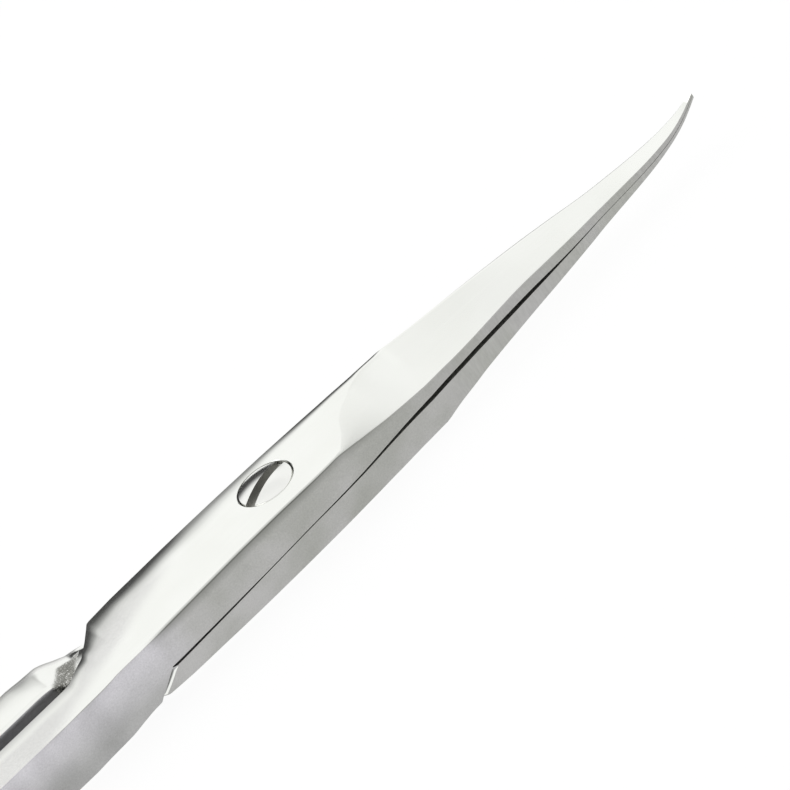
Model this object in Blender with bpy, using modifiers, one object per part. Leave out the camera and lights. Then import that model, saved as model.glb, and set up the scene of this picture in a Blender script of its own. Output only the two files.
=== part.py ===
"""Curved nail scissors: two forged halves, lapped and turning on a slotted pivot screw.

Both halves are described in one frame: the pivot axis is the line x = y = 0, the tips point
along +X and the seam between the halves lies at z = 0. The upper half has its cutting edge and
its finger ring on the -Y side. The lower half is the same shape turned half round the X axis.
"""
import math
from bisect import bisect_right

import bmesh
import bpy
from mathutils import Vector

# Lengths along the scissors, from the pivot axis, in metres
BLADE_REACH = 0.03272         # to the tips
BLADE_ROOT = 0.0100           # to the kink where the back starts to fall
FACET_START = 0.0038          # to the corner where the polished blade facet begins
NOTCH_FRONT = 0.0125          # back to the corner of the shoulder notch
NOTCH_LENGTH = 0.0041         # the notch, from that corner to the shank's inner wall
SHANK_START = 0.0180          # back to where the shank has its full section
HANDLE_START = 0.0235         # back to where the shank starts to turn round
SHANK_END = 0.0295            # back to where the round handle section begins
LOWER_RELIEF_LENGTH = 0.0067  # the hollow ground into the lower half's shank
UPPER_RELIEF_LENGTH = 0.0030  # the slighter one under the upper half's shank
RING_CENTRE = 0.0490          # back to the middle of the finger rings

# Half widths at the seam, in the pivot region and along the blade
SHOULDER_HALF_WIDTH = 0.00386
PIVOT_HALF_WIDTH = 0.00320
ROOT_HALF_WIDTH = 0.00224
TIP_HALF_WIDTH = 0.00008

# Heights
HALF_THICKNESS = 0.00208      # each half in the lap, and half of the shank
BEVEL_HEIGHT = 0.00064        # the ground strip along the cutting edge, at its widest
TIP_RISE = 0.00116            # how far the tips curve up
SEAM_GAP = 0.00006            # between the two halves at the pivot
BLADE_BOW = 0.00022           # how much further apart they stand between pivot and tip
LOWER_RELIEF = 0.00135        # the hollow ground into the lower half's shank behind the notch
UPPER_RELIEF = 0.00020        # the slighter one under the upper half's shank

# Shanks and finger rings
SHANK_WIDTH = 0.00295
SHANK_GAP = 0.00113           # between the two shanks
WALL_SLANT = 0.00083          # how far a shank leans sideways over its thickness
SHOULDER_CLEARANCE = 0.00020
SHOULDER_START = 0.00003      # width with which the shank's lower storey begins
HANDLE_WIDTH = 0.0029
HANDLE_THICKNESS = 0.0038
HANDLE_SPREAD = 0.00075       # how far a shank moves outward before the round section
RING_WIDTH = 0.0029
RING_THICKNESS = 0.0032
RING_GAP = 0.0012             # between the closed finger rings
FINGER_LENGTH = 0.0230        # inside a finger ring
FINGER_WIDTH = 0.0180

# Pivot screw
SCREW_RADIUS = 0.00100
HEAD_RADIUS = 0.00175
HEAD_RIM = 0.00050            # height of the head's round wall, all of it sunk in the recess
HEAD_DOME = 0.00026
SLOT_WIDTH = 0.00068
SLOT_DEPTH = 0.00050
SCREW_CHAMFER = 0.00015
PIVOT_CLEARANCE = 0.00004     # round the shank and the head in the upper half
THREAD_CLEARANCE = 0.00003    # round the shank in the lower half
HEAD_SEAT_CLEARANCE = 0.00004
END_SETBACK = 0.00010         # the screw's end stays above the lower half's bottom face
CUT_OVERRUN = 0.00050
MERGE_DISTANCE = 0.000001

# Angles
RING_TILT = math.radians(8)
NECK_ANGLE = math.radians(38)     # where on its finger ring the shank arrives
SLOT_ANGLE = math.radians(20)
SHARP_ANGLE = math.radians(25)

# Counts
RING_SEGMENTS = 20
SECTION_CORNERS = 8
SUBDIVISIONS = 1
SCREW_SEGMENTS = 40
DOME_STEPS = 5
BISECTION_STEPS = 40

# Shares of a length, each paired with a share of the size that changes along it
SHOULDER_WIDTH_shares = ((0.12, 0.03), (0.28, 0.165), (0.52, 0.41), (0.76, 0.69))
ROOT_WIDTH_shares = (
    (0.0, 0.0), (0.15, 0.075), (0.30, 0.18), (0.42, 0.29), (0.50, 0.395), (0.60, 0.55), (0.80, 0.82),
    (1.0, 1.0))
BLADE_WIDTH_shares = (
    (0.06, 0.965), (0.11, 0.935), (0.167, 0.905), (0.264, 0.848), (0.352, 0.776), (0.44, 0.710),
    (0.505, 0.645), (0.571, 0.553), (0.615, 0.485), (0.659, 0.437), (0.703, 0.405), (0.747, 0.370),
    (0.791, 0.333), (0.835, 0.292), (0.879, 0.241), (0.914, 0.186), (0.941, 0.130), (0.967, 0.073),
    (0.985, 0.028), (1.0, 0.0))
BACK_HEIGHT_shares = (
    (0.0, 1.0), (0.013, 0.985), (0.031, 0.945), (0.062, 0.885), (0.11, 0.812), (0.167, 0.722),
    (0.264, 0.622), (0.352, 0.545), (0.44, 0.465), (0.505, 0.405), (0.571, 0.352), (0.615, 0.315),
    (0.659, 0.28), (0.703, 0.245), (0.747, 0.213), (0.791, 0.182), (0.835, 0.15), (0.879, 0.119),
    (0.923, 0.099), (0.967, 0.087), (1.0, 0.08))
BEVEL_shares = (
    (0.0, 1.15), (0.031, 1.08), (0.062, 1.03), (0.11, 0.95), (0.167, 0.91), (0.264, 0.975), (0.32, 1.0),
    (0.352, 0.985), (0.44, 0.88), (0.505, 0.78), (0.571, 0.677), (0.615, 0.612), (0.659, 0.568),
    (0.703, 0.543), (0.747, 0.508), (0.791, 0.456), (0.835, 0.41), (0.879, 0.355), (0.923, 0.295),
    (0.967, 0.22), (1.0, 0.17))
ROOT_BEVEL_shares = (
    (0.0, 0.0), (0.065, 0.178), (0.194, 0.364), (0.355, 0.558), (0.516, 0.729), (0.677, 0.848),
    (0.839, 0.937), (1.0, 1.0))
CREASE_shares = (
    (0.0, 0.05), (0.135, 0.22), (0.277, 0.50), (0.49, 0.70), (0.60, 0.82), (0.81, 0.92), (1.0, 0.92))
RISE_shares = (
    (0.0, 0.0), (0.06, 0.06), (0.11, 0.09), (0.167, 0.135), (0.264, 0.172), (0.352, 0.18),
    (0.44, 0.172), (0.505, 0.157), (0.571, 0.135), (0.615, 0.123), (0.659, 0.113), (0.703, 0.115),
    (0.747, 0.121), (0.791, 0.142), (0.835, 0.192), (0.879, 0.285), (0.914, 0.41), (0.941, 0.544),
    (0.967, 0.726), (0.985, 0.867), (1.0, 1.0))
BOW_shares = (
    (-1.0, 0.55), (-0.67, 0.33), (-0.42, 0.17), (-0.27, 0.0), (0.0, 0.0), (0.05, 0.08), (0.15, 0.30),
    (0.20, 0.45), (0.263, 0.74), (0.325, 0.96), (0.40, 1.0), (0.51, 1.0), (0.58, 0.75), (0.635, 0.35),
    (0.70, 0.10), (0.745, 0.0))
FREE_EDGE_shares = (
    (-1.0, 0.655), (-0.72, 0.712), (-0.40, 0.755), (-0.24, 0.769), (0.0, 0.780), (0.092, 0.772),
    (0.153, 0.782), (0.214, 0.812), (0.305, 0.825), (0.38, 0.87), (0.44, 0.905), (0.61, 0.918),
    (0.80, 0.925), (1.0, 0.94))
ROUND_shares = ((-1.0, 0.30), (-0.72, 0.26), (-0.40, 0.20), (0.0, 0.12), (0.30, 0.05))
OUTER_LEAN_shares = (
    (-1.0, 0.085), (-0.7, 0.10), (-0.4, 0.09), (-0.2, 0.05), (0.0, -0.015), (0.11, -0.04), (0.2, 0.0))
NOTCH_shares = (
    (-0.33, 1.0), (0.0, 0.667), (0.234, 0.42), (0.317, 0.35), (0.402, 0.26), (0.549, 0.18),
    (0.69, 0.10), (0.837, 0.02), (1.0, 0.0))
SHANK_BLEND_shares = (
    (0.0, 0.0), (0.14, 0.03), (0.27, 0.16), (0.38, 0.44), (0.49, 0.65), (0.62, 0.73), (0.80, 0.82),
    (1.0, 1.0))
RELIEF_shares = (
    (0.0, 1.0), (0.139, 0.95), (0.194, 0.76), (0.269, 0.52), (0.346, 0.43), (0.418, 0.35),
    (0.493, 0.24), (0.572, 0.17), (0.651, 0.13), (0.815, 0.08), (1.0, 0.0))

# Single shares
TIP_GAP_share = 0.25           # of the seam gap, left at the tips
BEVEL_TILT_share = 0.25        # how far the bevel leans in, for its height
BEVEL_LIMIT_share = 0.90       # of the back's height, the most the bevel takes
CHAMFER_share = 0.02           # of the half's thickness, along the lap's top edge
CORNER_share = 0.10            # the same, along the shank's edges
LEG_share = 0.45               # of the shorter side, the most a rounded corner takes
INNER_FACE_START_share = 0.015
INNER_FACE_END_share = 0.30
INNER_FACE_LENGTH_share = 0.25
BOTTOM_POINT_share = 0.7
LEDGE_SPLIT_share = 0.35
NECK_BEND_share = 0.55

# Places of the cross-sections, as shares of the blade, its root, the lap, the notch and the shank
BLADE_STATION_shares = (
    1.0, 0.985, 0.965, 0.94, 0.91, 0.875, 0.835, 0.79, 0.73, 0.66, 0.59, 0.52, 0.455, 0.39, 0.32, 0.25,
    0.18, 0.12, 0.075, 0.04, 0.015, 0.0)
ROOT_STATION_shares = (0.82, 0.64, 0.46, 0.3, 0.15, 0.07, 0.0)
PIVOT_STATION_shares = (0.6, 0.2, -0.15, -0.32, -0.49, -0.66, -0.82)
SHOULDER_STATION_shares = (0.4, 0.7)
NOTCH_STATION_shares = (0.0, 0.06, 0.14, 0.23, 0.31, 0.38, 0.45, 0.53, 0.62, 0.72, 0.82, 0.91, 1.0)
SHANK_STATION_shares = (0.5, 1.0)
HANDLE_STATION_shares = (0.0, 0.2, 0.4, 0.6, 0.8)
NECK_STATION_shares = (0.28, 0.54, 0.78)

# Derived places
NOTCH_REAR = NOTCH_FRONT + NOTCH_LENGTH
BLADE_LENGTH = BLADE_REACH - BLADE_ROOT
RING_LENGTH_RADIUS = FINGER_LENGTH / 2 + RING_WIDTH / 2
RING_WIDTH_RADIUS = FINGER_WIDTH / 2 + RING_WIDTH / 2
RING_REACH = RING_WIDTH / 2 + math.hypot(
    RING_LENGTH_RADIUS * math.cos(RING_TILT), RING_WIDTH_RADIUS * math.sin(RING_TILT))
RING_SPREAD = RING_WIDTH / 2 + math.hypot(
    RING_WIDTH_RADIUS * math.cos(RING_TILT), RING_LENGTH_RADIUS * math.sin(RING_TILT))
RING_OFFSET = RING_GAP / 2 + RING_SPREAD
PIVOT_PLACE = (RING_CENTRE + RING_REACH - BLADE_REACH) / 2

# A closed B-spline through evenly spaced control points lies inside them by this share
SECTION_SHRINK_share = (2 + math.cos(2 * math.pi / SECTION_CORNERS)) / 3
PATH_SHRINK_share = (2 + math.cos(2 * math.pi / RING_SEGMENTS)) / 3

STEEL = (0.72, 0.72, 0.71)
SCREW_STEEL = (0.66, 0.66, 0.65)


def smooth_through(points):
    """Give a function that runs smoothly through (place, value) points and never overshoots them."""
    places = [place for place, _ in points]
    values = [value for _, value in points]
    steps = [after - before for before, after in zip(places, places[1:])]
    slopes = [(after - before) / step for before, after, step in zip(values, values[1:], steps)]
    tangents = [slopes[0]]
    for before, after in zip(slopes, slopes[1:]):
        tangents.append(2 * before * after / (before + after) if before * after > 0 else 0.0)
    tangents.append(slopes[-1])

    def value_at(place):
        place = min(max(place, places[0]), places[-1])
        i = min(bisect_right(places, place) - 1, len(steps) - 1)
        t = (place - places[i]) / steps[i]
        rise = values[i + 1] - values[i]
        early = tangents[i] * steps[i] - rise
        late = tangents[i + 1] * steps[i] - rise
        return values[i] + t * rise + t * (1 - t) * ((1 - t) * early - t * late)

    return value_at


def mix(start, end, share):
    """Give the value that lies a share of the way from start to end."""
    return start + (end - start) * share


def mix_points(start, end, share):
    """Give the point that lies a share of the way from start to end."""
    return tuple(mix(a, b, share) for a, b in zip(start, end))


def limit(value, low, high):
    """Keep a value between two others."""
    return min(max(value, low), high)


def ease(share):
    """Turn a share of the way into one that starts and ends gently."""
    share = limit(share, 0.0, 1.0)
    return share * share * (3 - 2 * share)


half_width = smooth_through(
    [(-NOTCH_FRONT, SHOULDER_HALF_WIDTH)]
    + [(-NOTCH_FRONT * (1 - place), mix(SHOULDER_HALF_WIDTH, PIVOT_HALF_WIDTH, share))
       for place, share in SHOULDER_WIDTH_shares]
    + [(BLADE_ROOT * place, mix(PIVOT_HALF_WIDTH, ROOT_HALF_WIDTH, share))
       for place, share in ROOT_WIDTH_shares]
    + [(BLADE_ROOT + BLADE_LENGTH * place, mix(TIP_HALF_WIDTH, ROOT_HALF_WIDTH, share))
       for place, share in BLADE_WIDTH_shares])
back_share = smooth_through(BACK_HEIGHT_shares)
bevel_share = smooth_through(BEVEL_shares)
root_bevel_share = smooth_through(ROOT_BEVEL_shares)
crease_share = smooth_through(CREASE_shares)
rise_share = smooth_through(RISE_shares)
bow_share = smooth_through(BOW_shares)
free_edge_share = smooth_through(FREE_EDGE_shares)
round_share = smooth_through(ROUND_shares)
outer_lean_share = smooth_through(OUTER_LEAN_shares)
notch_share = smooth_through(NOTCH_shares)
shank_blend_share = smooth_through(SHANK_BLEND_shares)
relief_share = smooth_through(RELIEF_shares)
handle_thickness = smooth_through([
    (-RING_CENTRE, RING_THICKNESS / 2),
    (-RING_CENTRE + RING_REACH, RING_THICKNESS / 2),
    (-SHANK_END, HANDLE_THICKNESS / 2)])


def along_blade(x):
    """Give how far x lies from the blade's root to its tip, as a share."""
    return (x - BLADE_ROOT) / BLADE_LENGTH


def along_root(x):
    """Give how far x lies from the start of the blade facet to the blade's root, as a share."""
    return limit((x - FACET_START) / (BLADE_ROOT - FACET_START), 0.0, 1.0)


def along_lap(x):
    """Give x as a share of the reach to the tip, or behind the pivot of the way to the notch."""
    return x / BLADE_REACH if x > 0 else x / NOTCH_FRONT


def behind_notch(x):
    """Give how far x lies behind the notch's front corner, as a share of the notch."""
    return (-x - NOTCH_FRONT) / NOTCH_LENGTH


def shank_blend(x):
    """Give how far the shoulder has turned into the plain shank at x."""
    return shank_blend_share(limit((-x - NOTCH_FRONT) / (SHANK_START - NOTCH_FRONT), 0.0, 1.0))


def handle_blend(x):
    """Give how far the shank has turned into the round handle at x."""
    return ease((-x - HANDLE_START) / (SHANK_END - HANDLE_START))


def seam_height(x):
    """Give the height of a half's inner face over the middle of the seam."""
    rest = SEAM_GAP / 2 * mix(1.0, TIP_GAP_share, limit(along_blade(x), 0.0, 1.0))
    return rest + BLADE_BOW / 2 * bow_share(along_lap(x))


def inner_wall(z):
    """Give the place of the shank's slanting inner wall at height z."""
    return -SHANK_GAP / 2 - WALL_SLANT * z / (2 * HALF_THICKNESS)


def notch_wall(x):
    """Give the place of the shoulder notch's wall at x."""
    return mix(inner_wall(HALF_THICKNESS), SHOULDER_HALF_WIDTH, notch_share(behind_notch(x)))


def storey_wall(x, z):
    """Give the inner side of the shank's lower storey, which clears the other half's shoulder."""
    return min(-notch_wall(x) - SHOULDER_CLEARANCE, inner_wall(z))


def has_lower_storey(x):
    """Tell whether the shank already has its lower storey at x."""
    return x < 0 and storey_wall(x, 0) > SHOULDER_START - half_width(x)


def find_shoulder():
    """Give the place where the shank's lower storey begins."""
    front, rear = 0.0, -NOTCH_REAR
    for _ in range(BISECTION_STEPS):
        middle = (front + rear) / 2
        if has_lower_storey(middle):
            rear = middle
        else:
            front = middle
    return rear


def round_corner(before, corner, after, length):
    """Give three points that round a corner off over a length of both its legs."""
    legs = [Vector(end) - Vector(corner) for end in (before, after)]
    ends = [Vector(corner) + leg * min(length / leg.length, LEG_share) for leg in legs]
    middle = (ends[0] + ends[1]) / 4 + Vector(corner) / 2
    return [tuple(ends[0]), tuple(middle), tuple(ends[1])]


def lower_points(x, relief):
    """Give the points from the outer wall round the bottom to the inner wall or inner face.

    The relief is the depth and length of the hollow ground into the shank behind the notch.
    """
    width = half_width(x)
    seam = seam_height(x)
    if not has_lower_storey(x):
        opened = limit((x - SHOULDER_PLACE) / (NOTCH_FRONT * INNER_FACE_LENGTH_share), 0.0, 1.0)
        spread = 2 * width * mix(INNER_FACE_START_share, INNER_FACE_END_share, opened)
        return [(-width + spread * (i + 1) / 6, seam) for i in range(6)]
    blend = shank_blend(x)
    edge = -width * free_edge_share(along_lap(x))
    edge = mix(edge, inner_wall(-HALF_THICKNESS) - SHANK_WIDTH, blend)
    side = mix(-width, inner_wall(0) - SHANK_WIDTH, blend)
    depth = HALF_THICKNESS - relief[0] * relief_share((-x - NOTCH_FRONT) / relief[1])
    drop = limit((storey_wall(x, 0) - side) / max(edge - side, SHOULDER_START), 0.0, 1.0)
    bottom = -depth * drop
    inner = max(storey_wall(x, bottom), side + SHOULDER_START)
    edge = min(mix(side, edge, drop * depth / HALF_THICKNESS), inner - SHOULDER_START / 2)
    size = HALF_THICKNESS * mix(round_share(-1.0), CORNER_share, blend)
    outer = round_corner((side, seam), (edge, bottom), (inner, bottom), size)
    ledge = ledge_width(x)
    split = LEDGE_SPLIT_share * HALF_THICKNESS * (1 - ledge)
    wall_top = (storey_wall(x, seam - split), seam - split)
    return outer + [(mix(outer[2][0], inner, BOTTOM_POINT_share), bottom), (inner, bottom), wall_top]


def ledge_width(x):
    """Give the width of the ledge between the storeys, as a share of the gap beside the shank."""
    seam = seam_height(x)
    width = max(notch_wall(x), inner_wall(seam)) - storey_wall(x, seam)
    return limit(2 * width / SHANK_GAP, 0.0, 1.0)


def upper_points(x):
    """Give the points from the inner face round the free edge and the top to the outer wall."""
    width = half_width(x)
    seam = seam_height(x)
    blend = shank_blend(x)
    back = HALF_THICKNESS * back_share(limit(along_blade(x), 0.0, 1.0))
    wall = notch_wall(x) if x < -NOTCH_FRONT / 2 else width
    base_height = seam
    if has_lower_storey(x):
        base_height += LEDGE_SPLIT_share * HALF_THICKNESS * (1 - ledge_width(x))
    base = (max(min(width, wall), inner_wall(base_height)), base_height)
    free = (max(min(width * free_edge_share(along_lap(x)), wall), inner_wall(back)), back)

    lean = HALF_THICKNESS * outer_lean_share(along_lap(x))
    bevel = mix(HALF_THICKNESS, BEVEL_HEIGHT * bevel_share(0.0), root_bevel_share(along_root(x)))
    if x > BLADE_ROOT:
        bevel = BEVEL_HEIGHT * bevel_share(along_blade(x))
    bevel = min(bevel, back if x <= FACET_START else BEVEL_LIMIT_share * back)
    lean += bevel * BEVEL_TILT_share * along_root(x)
    side_top = mix(lean - width, inner_wall(HALF_THICKNESS) - SHANK_WIDTH, blend)
    corner = (side_top, bevel)
    side = (mix(-width, inner_wall(0) - SHANK_WIDTH, blend), seam)

    reach = crease_share(along_root(x))
    crease_height = back if x <= BLADE_ROOT else mix(bevel, back, reach)
    crease = (mix(side_top, free[0], reach), crease_height)
    round_size = mix(round_share(along_lap(x)), CORNER_share, limit(behind_notch(x), 0.0, 1.0)) * back
    free_round = round_corner(base, free, crease, round_size)
    top = mix_points(crease, free_round[2], 0.5)
    chamfer = HALF_THICKNESS * mix(CHAMFER_share, CORNER_share, blend)
    outer = round_corner(crease, corner, side, min(chamfer, (back - seam) * CORNER_share))
    return [base] + free_round + [top, crease, outer[0], outer[2], side]


def section(x, relief):
    """Give the 16 points of a half's cross-section at x, from the outer bottom corner round."""
    lower = lower_points(x, relief)
    upper = upper_points(x)
    return lower + [mix_points(lower[-1], upper[0], 0.5)] + upper


SHOULDER_PLACE = find_shoulder()


def section_places():
    """Give the places of all cross-sections, from the tip back to where the handle begins."""
    places = [BLADE_ROOT + BLADE_LENGTH * share for share in BLADE_STATION_shares]
    places += [mix(FACET_START, BLADE_ROOT, share) for share in ROOT_STATION_shares]
    places += [FACET_START * share for share in PIVOT_STATION_shares if share > 0]
    places += [NOTCH_FRONT * share for share in PIVOT_STATION_shares if share < 0]
    places += [SHOULDER_PLACE + SHOULDER_START / 2, SHOULDER_PLACE - SHOULDER_START / 2]
    places += [mix(SHOULDER_PLACE, -NOTCH_FRONT, share) for share in SHOULDER_STATION_shares]
    places += [-NOTCH_FRONT - NOTCH_LENGTH * share for share in NOTCH_STATION_shares]
    places += [mix(-NOTCH_REAR, -SHANK_START, share) for share in SHANK_STATION_shares]
    places += [mix(-HANDLE_START, -SHANK_END, share) for share in HANDLE_STATION_shares]
    return places


def thickness_at(x):
    """Give half the thickness of shank, neck and ring at x."""
    if x < -SHANK_END:
        return handle_thickness(x)
    return mix(HALF_THICKNESS, HANDLE_THICKNESS / 2, handle_blend(x))


def level_at(x):
    """Give how far the half's middle plane is raised at the tip or lowered along the handle."""
    if x > BLADE_ROOT:
        return TIP_RISE * rise_share(along_blade(x))
    return thickness_at(x) - HALF_THICKNESS


def ring_direction(angle):
    """Give the point on the ring's middle line at an angle, and the way that faces outward there."""
    turn = math.cos(-RING_TILT), math.sin(-RING_TILT)
    along = RING_LENGTH_RADIUS * math.cos(angle) / PATH_SHRINK_share
    across = RING_WIDTH_RADIUS * math.sin(angle) / PATH_SHRINK_share
    facing = (math.cos(angle) / RING_LENGTH_RADIUS, math.sin(angle) / RING_WIDTH_RADIUS)
    point = Vector((turn[0] * along - turn[1] * across, turn[1] * along + turn[0] * across))
    out = Vector((turn[0] * facing[0] - turn[1] * facing[1], turn[1] * facing[0] + turn[0] * facing[1]))
    return point + Vector((-RING_CENTRE, -RING_OFFSET)), out.normalized()


def ring_point(segment, corner):
    """Give a control point of the ring, counted from where the shank arrives."""
    angle = NECK_ANGLE + RING_TILT + 2 * math.pi * segment / RING_SEGMENTS
    point, out = ring_direction(angle)
    turn = 2 * math.pi * corner / SECTION_CORNERS
    point = point + out * (RING_WIDTH / 2 * math.cos(turn) / SECTION_SHRINK_share)
    height = RING_THICKNESS / 2 * math.sin(turn) / SECTION_SHRINK_share
    return Vector((point.x, point.y, height))


def neck_rows():
    """Give rows of eight control points from the end of the shank to the finger ring."""
    start = Vector((-SHANK_END, inner_wall(0) - SHANK_WIDTH / 2 - HANDLE_SPREAD))
    point, out = ring_direction(NECK_ANGLE + RING_TILT)
    end = point + out * (RING_WIDTH / 2)
    heading = Vector((HANDLE_START - SHANK_END, -HANDLE_SPREAD)).normalized()
    bend = start + heading * ((end - start).length * NECK_BEND_share)
    rows = []
    for t in (0.0,) + NECK_STATION_shares:
        centre = start.lerp(bend, t).lerp(bend.lerp(end, t), t)
        run = (bend - start).lerp(end - bend, t).normalized() if t else Vector((-1, 0))
        side = Vector((run.y, -run.x)) * (HANDLE_WIDTH / 2)
        height = thickness_at(centre.x)
        corners = ((-1, -1), (0, -1), (1, -1), (1, 0), (1, 1), (0, 1), (-1, 1), (-1, 0))
        rows.append([(*(centre + side * across), height * up) for across, up in corners])
    return rows


def handle_mesh():
    """Make the neck and finger ring as a smoothed cage that is open where the shank joins it."""
    cage = bmesh.new()
    grid = {}
    for segment in range(RING_SEGMENTS):
        for corner in range(SECTION_CORNERS):
            if (segment, corner) != (0, 0):
                grid[segment, corner] = cage.verts.new(ring_point(segment, corner))
    for segment in range(RING_SEGMENTS):
        for corner in range(SECTION_CORNERS):
            after = (segment + 1) % RING_SEGMENTS
            above = (corner + 1) % SECTION_CORNERS
            keys = ((segment, corner), (after, corner), (after, above), (segment, above))
            if (0, 0) not in keys:
                cage.faces.new([grid[key] for key in keys])
    last, under = RING_SEGMENTS - 1, SECTION_CORNERS - 1
    mouth = ((last, under), (0, under), (1, under), (1, 0), (1, 1), (0, 1), (last, 1), (last, 0))
    rows = [[cage.verts.new(point) for point in row] for row in neck_rows()]
    rows.append([grid[key] for key in mouth])
    for row, following in zip(rows, rows[1:]):
        bridge(cage, row, following)
    mesh = bpy.data.meshes.new("handle_cage")
    cage.to_mesh(mesh)
    cage.free()
    holder = bpy.data.objects.new("handle_cage", mesh)
    bpy.context.scene.collection.objects.link(holder)
    smoothing = holder.modifiers.new("smoothing", "SUBSURF")
    smoothing.levels = SUBDIVISIONS
    smoothing.render_levels = SUBDIVISIONS
    smooth = bpy.data.meshes.new_from_object(
        holder.evaluated_get(bpy.context.evaluated_depsgraph_get()))
    bpy.data.objects.remove(holder)
    return smooth


def bridge(shape, row, following):
    """Join two closed rows of equally many corners with faces."""
    for i, vertex in enumerate(row):
        after = (i + 1) % len(row)
        shape.faces.new((vertex, row[after], following[after], following[i]))


def open_rim(shape):
    """Give the corners of the handle's open end, in order from its outer bottom corner."""
    rim = {vertex for edge in shape.edges if edge.is_boundary for vertex in edge.verts}
    middle = sum((vertex.co.y for vertex in rim), 0.0) / len(rim)
    start = min(rim, key=lambda vertex: vertex.co.y + vertex.co.z)
    first = math.atan2(start.co.z, start.co.y - middle)

    def turn(vertex):
        angle = math.atan2(vertex.co.z, vertex.co.y - middle) - first
        return angle % (2 * math.pi) if vertex is not start else 0.0

    return sorted(rim, key=turn)


def half_mesh(name, side, relief):
    """Make one half: sections from the tip to the shank, then the smoothed neck and ring.

    Its underside is flattened where it would reach below the plane the scissors rest on.
    """
    shape = bmesh.new()
    shape.from_mesh(handle_mesh())
    following = open_rim(shape)
    rim = [(vertex.co.y, vertex.co.z) for vertex in following]
    for x in reversed(section_places()):
        blend = handle_blend(x)
        points = [mix_points(a, b, blend) for a, b in zip(section(x, relief), rim)]
        row = [shape.verts.new((x, y, z)) for y, z in points]
        bridge(shape, row, following)
        following = row
    shape.faces.new(following)
    for vertex in shape.verts:
        x, y, z = vertex.co
        vertex.co = (x, side * y, max(side * z + level_at(x), -HALF_THICKNESS))
    bmesh.ops.recalc_face_normals(shape, faces=shape.faces)
    bmesh.ops.triangulate(shape, faces=shape.faces)
    mesh = bpy.data.meshes.new(name)
    shape.to_mesh(mesh)
    shape.free()
    return mesh


def steel_material(name, colour, roughness):
    """Make a plain metal material."""
    material = bpy.data.materials.new(name)
    material.use_nodes = True
    shader = material.node_tree.nodes["Principled BSDF"]
    shader.inputs["Base Color"].default_value = (*colour, 1.0)
    shader.inputs["Metallic"].default_value = 1.0
    shader.inputs["Roughness"].default_value = roughness
    material.diffuse_color = (*colour, 1.0)
    return material


def place(name, mesh, collection):
    """Put a mesh in the scene with its origin on the pivot axis, in the middle of the seam."""
    thing = bpy.data.objects.new(name, mesh)
    thing.location = (PIVOT_PLACE, 0, HALF_THICKNESS)
    collection.objects.link(thing)
    return thing


def cylinder_cutter(name, radius, bottom, top, collection):
    """Make an upright cylinder on the pivot axis that cuts between two heights."""
    shape = bmesh.new()
    bmesh.ops.create_cone(shape, cap_ends=True, segments=SCREW_SEGMENTS, radius1=radius, radius2=radius,
                          depth=top - bottom)
    bmesh.ops.translate(shape, verts=shape.verts, vec=(0, 0, (top + bottom) / 2))
    mesh = bpy.data.meshes.new(name)
    shape.to_mesh(mesh)
    shape.free()
    cutter = place(name, mesh, collection)
    cutter.hide_render = True
    cutter.display_type = "WIRE"
    return cutter


def cut(thing, cutter):
    """Take a cutter's volume out of a piece."""
    boolean = thing.modifiers.new("cut " + cutter.name, "BOOLEAN")
    boolean.operation = "DIFFERENCE"
    boolean.solver = "EXACT"
    boolean.object = cutter


def smooth_by_angle(mesh, angle):
    """Shade a mesh smooth, with its sharp edges kept."""
    mesh.shade_smooth()
    mesh.set_sharp_from_angle(angle=angle)


def make_half(name, side, relief, parts):
    """Make a half with its material, without its screw hole."""
    mesh = half_mesh(name, side, relief)
    smooth_by_angle(mesh, SHARP_ANGLE)
    mesh.materials.append(steel_material(name + "_steel", STEEL, 0.22))
    return place(name, mesh, parts)


def make_screw(parts, cutters):
    """Turn the screw from its profile, then cut the slot across its head."""
    top = HALF_THICKNESS
    head_bottom = top - HEAD_RIM
    end = END_SETBACK - HALF_THICKNESS
    profile = []
    for i in range(DOME_STEPS + 1):
        angle = math.pi / 2 * i / DOME_STEPS
        profile.append((HEAD_RADIUS * math.sin(angle), top + HEAD_DOME * math.cos(angle)))
    profile += [
        (HEAD_RADIUS, head_bottom), (SCREW_RADIUS, head_bottom), (SCREW_RADIUS, end + SCREW_CHAMFER),
        (SCREW_RADIUS - SCREW_CHAMFER, end), (0, end)]
    mesh = bpy.data.meshes.new("pivot_screw")
    mesh.from_pydata([(x, 0, z) for x, z in profile], [(i, i + 1) for i in range(len(profile) - 1)], [])
    mesh.materials.append(steel_material("screw_steel", SCREW_STEEL, 0.18))
    screw = place("pivot_screw", mesh, parts)
    turning = screw.modifiers.new("turning", "SCREW")
    turning.axis = "Z"
    turning.steps = SCREW_SEGMENTS
    turning.render_steps = SCREW_SEGMENTS
    turning.use_merge_vertices = True
    turning.merge_threshold = MERGE_DISTANCE
    turning.use_smooth_shade = True

    shape = bmesh.new()
    bmesh.ops.create_cube(shape, size=1.0)
    bmesh.ops.scale(shape, verts=shape.verts, vec=(
        2 * (HEAD_RADIUS + CUT_OVERRUN), SLOT_WIDTH, SLOT_DEPTH + CUT_OVERRUN))
    bmesh.ops.translate(shape, verts=shape.verts, vec=(
        0, 0, top + HEAD_DOME - SLOT_DEPTH + (SLOT_DEPTH + CUT_OVERRUN) / 2))
    mesh = bpy.data.meshes.new("slot_cutter")
    shape.to_mesh(mesh)
    shape.free()
    slot = place("slot_cutter", mesh, cutters)
    slot.rotation_euler.z = SLOT_ANGLE
    slot.hide_render = True
    slot.display_type = "WIRE"
    cut(screw, slot)
    return screw


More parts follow.
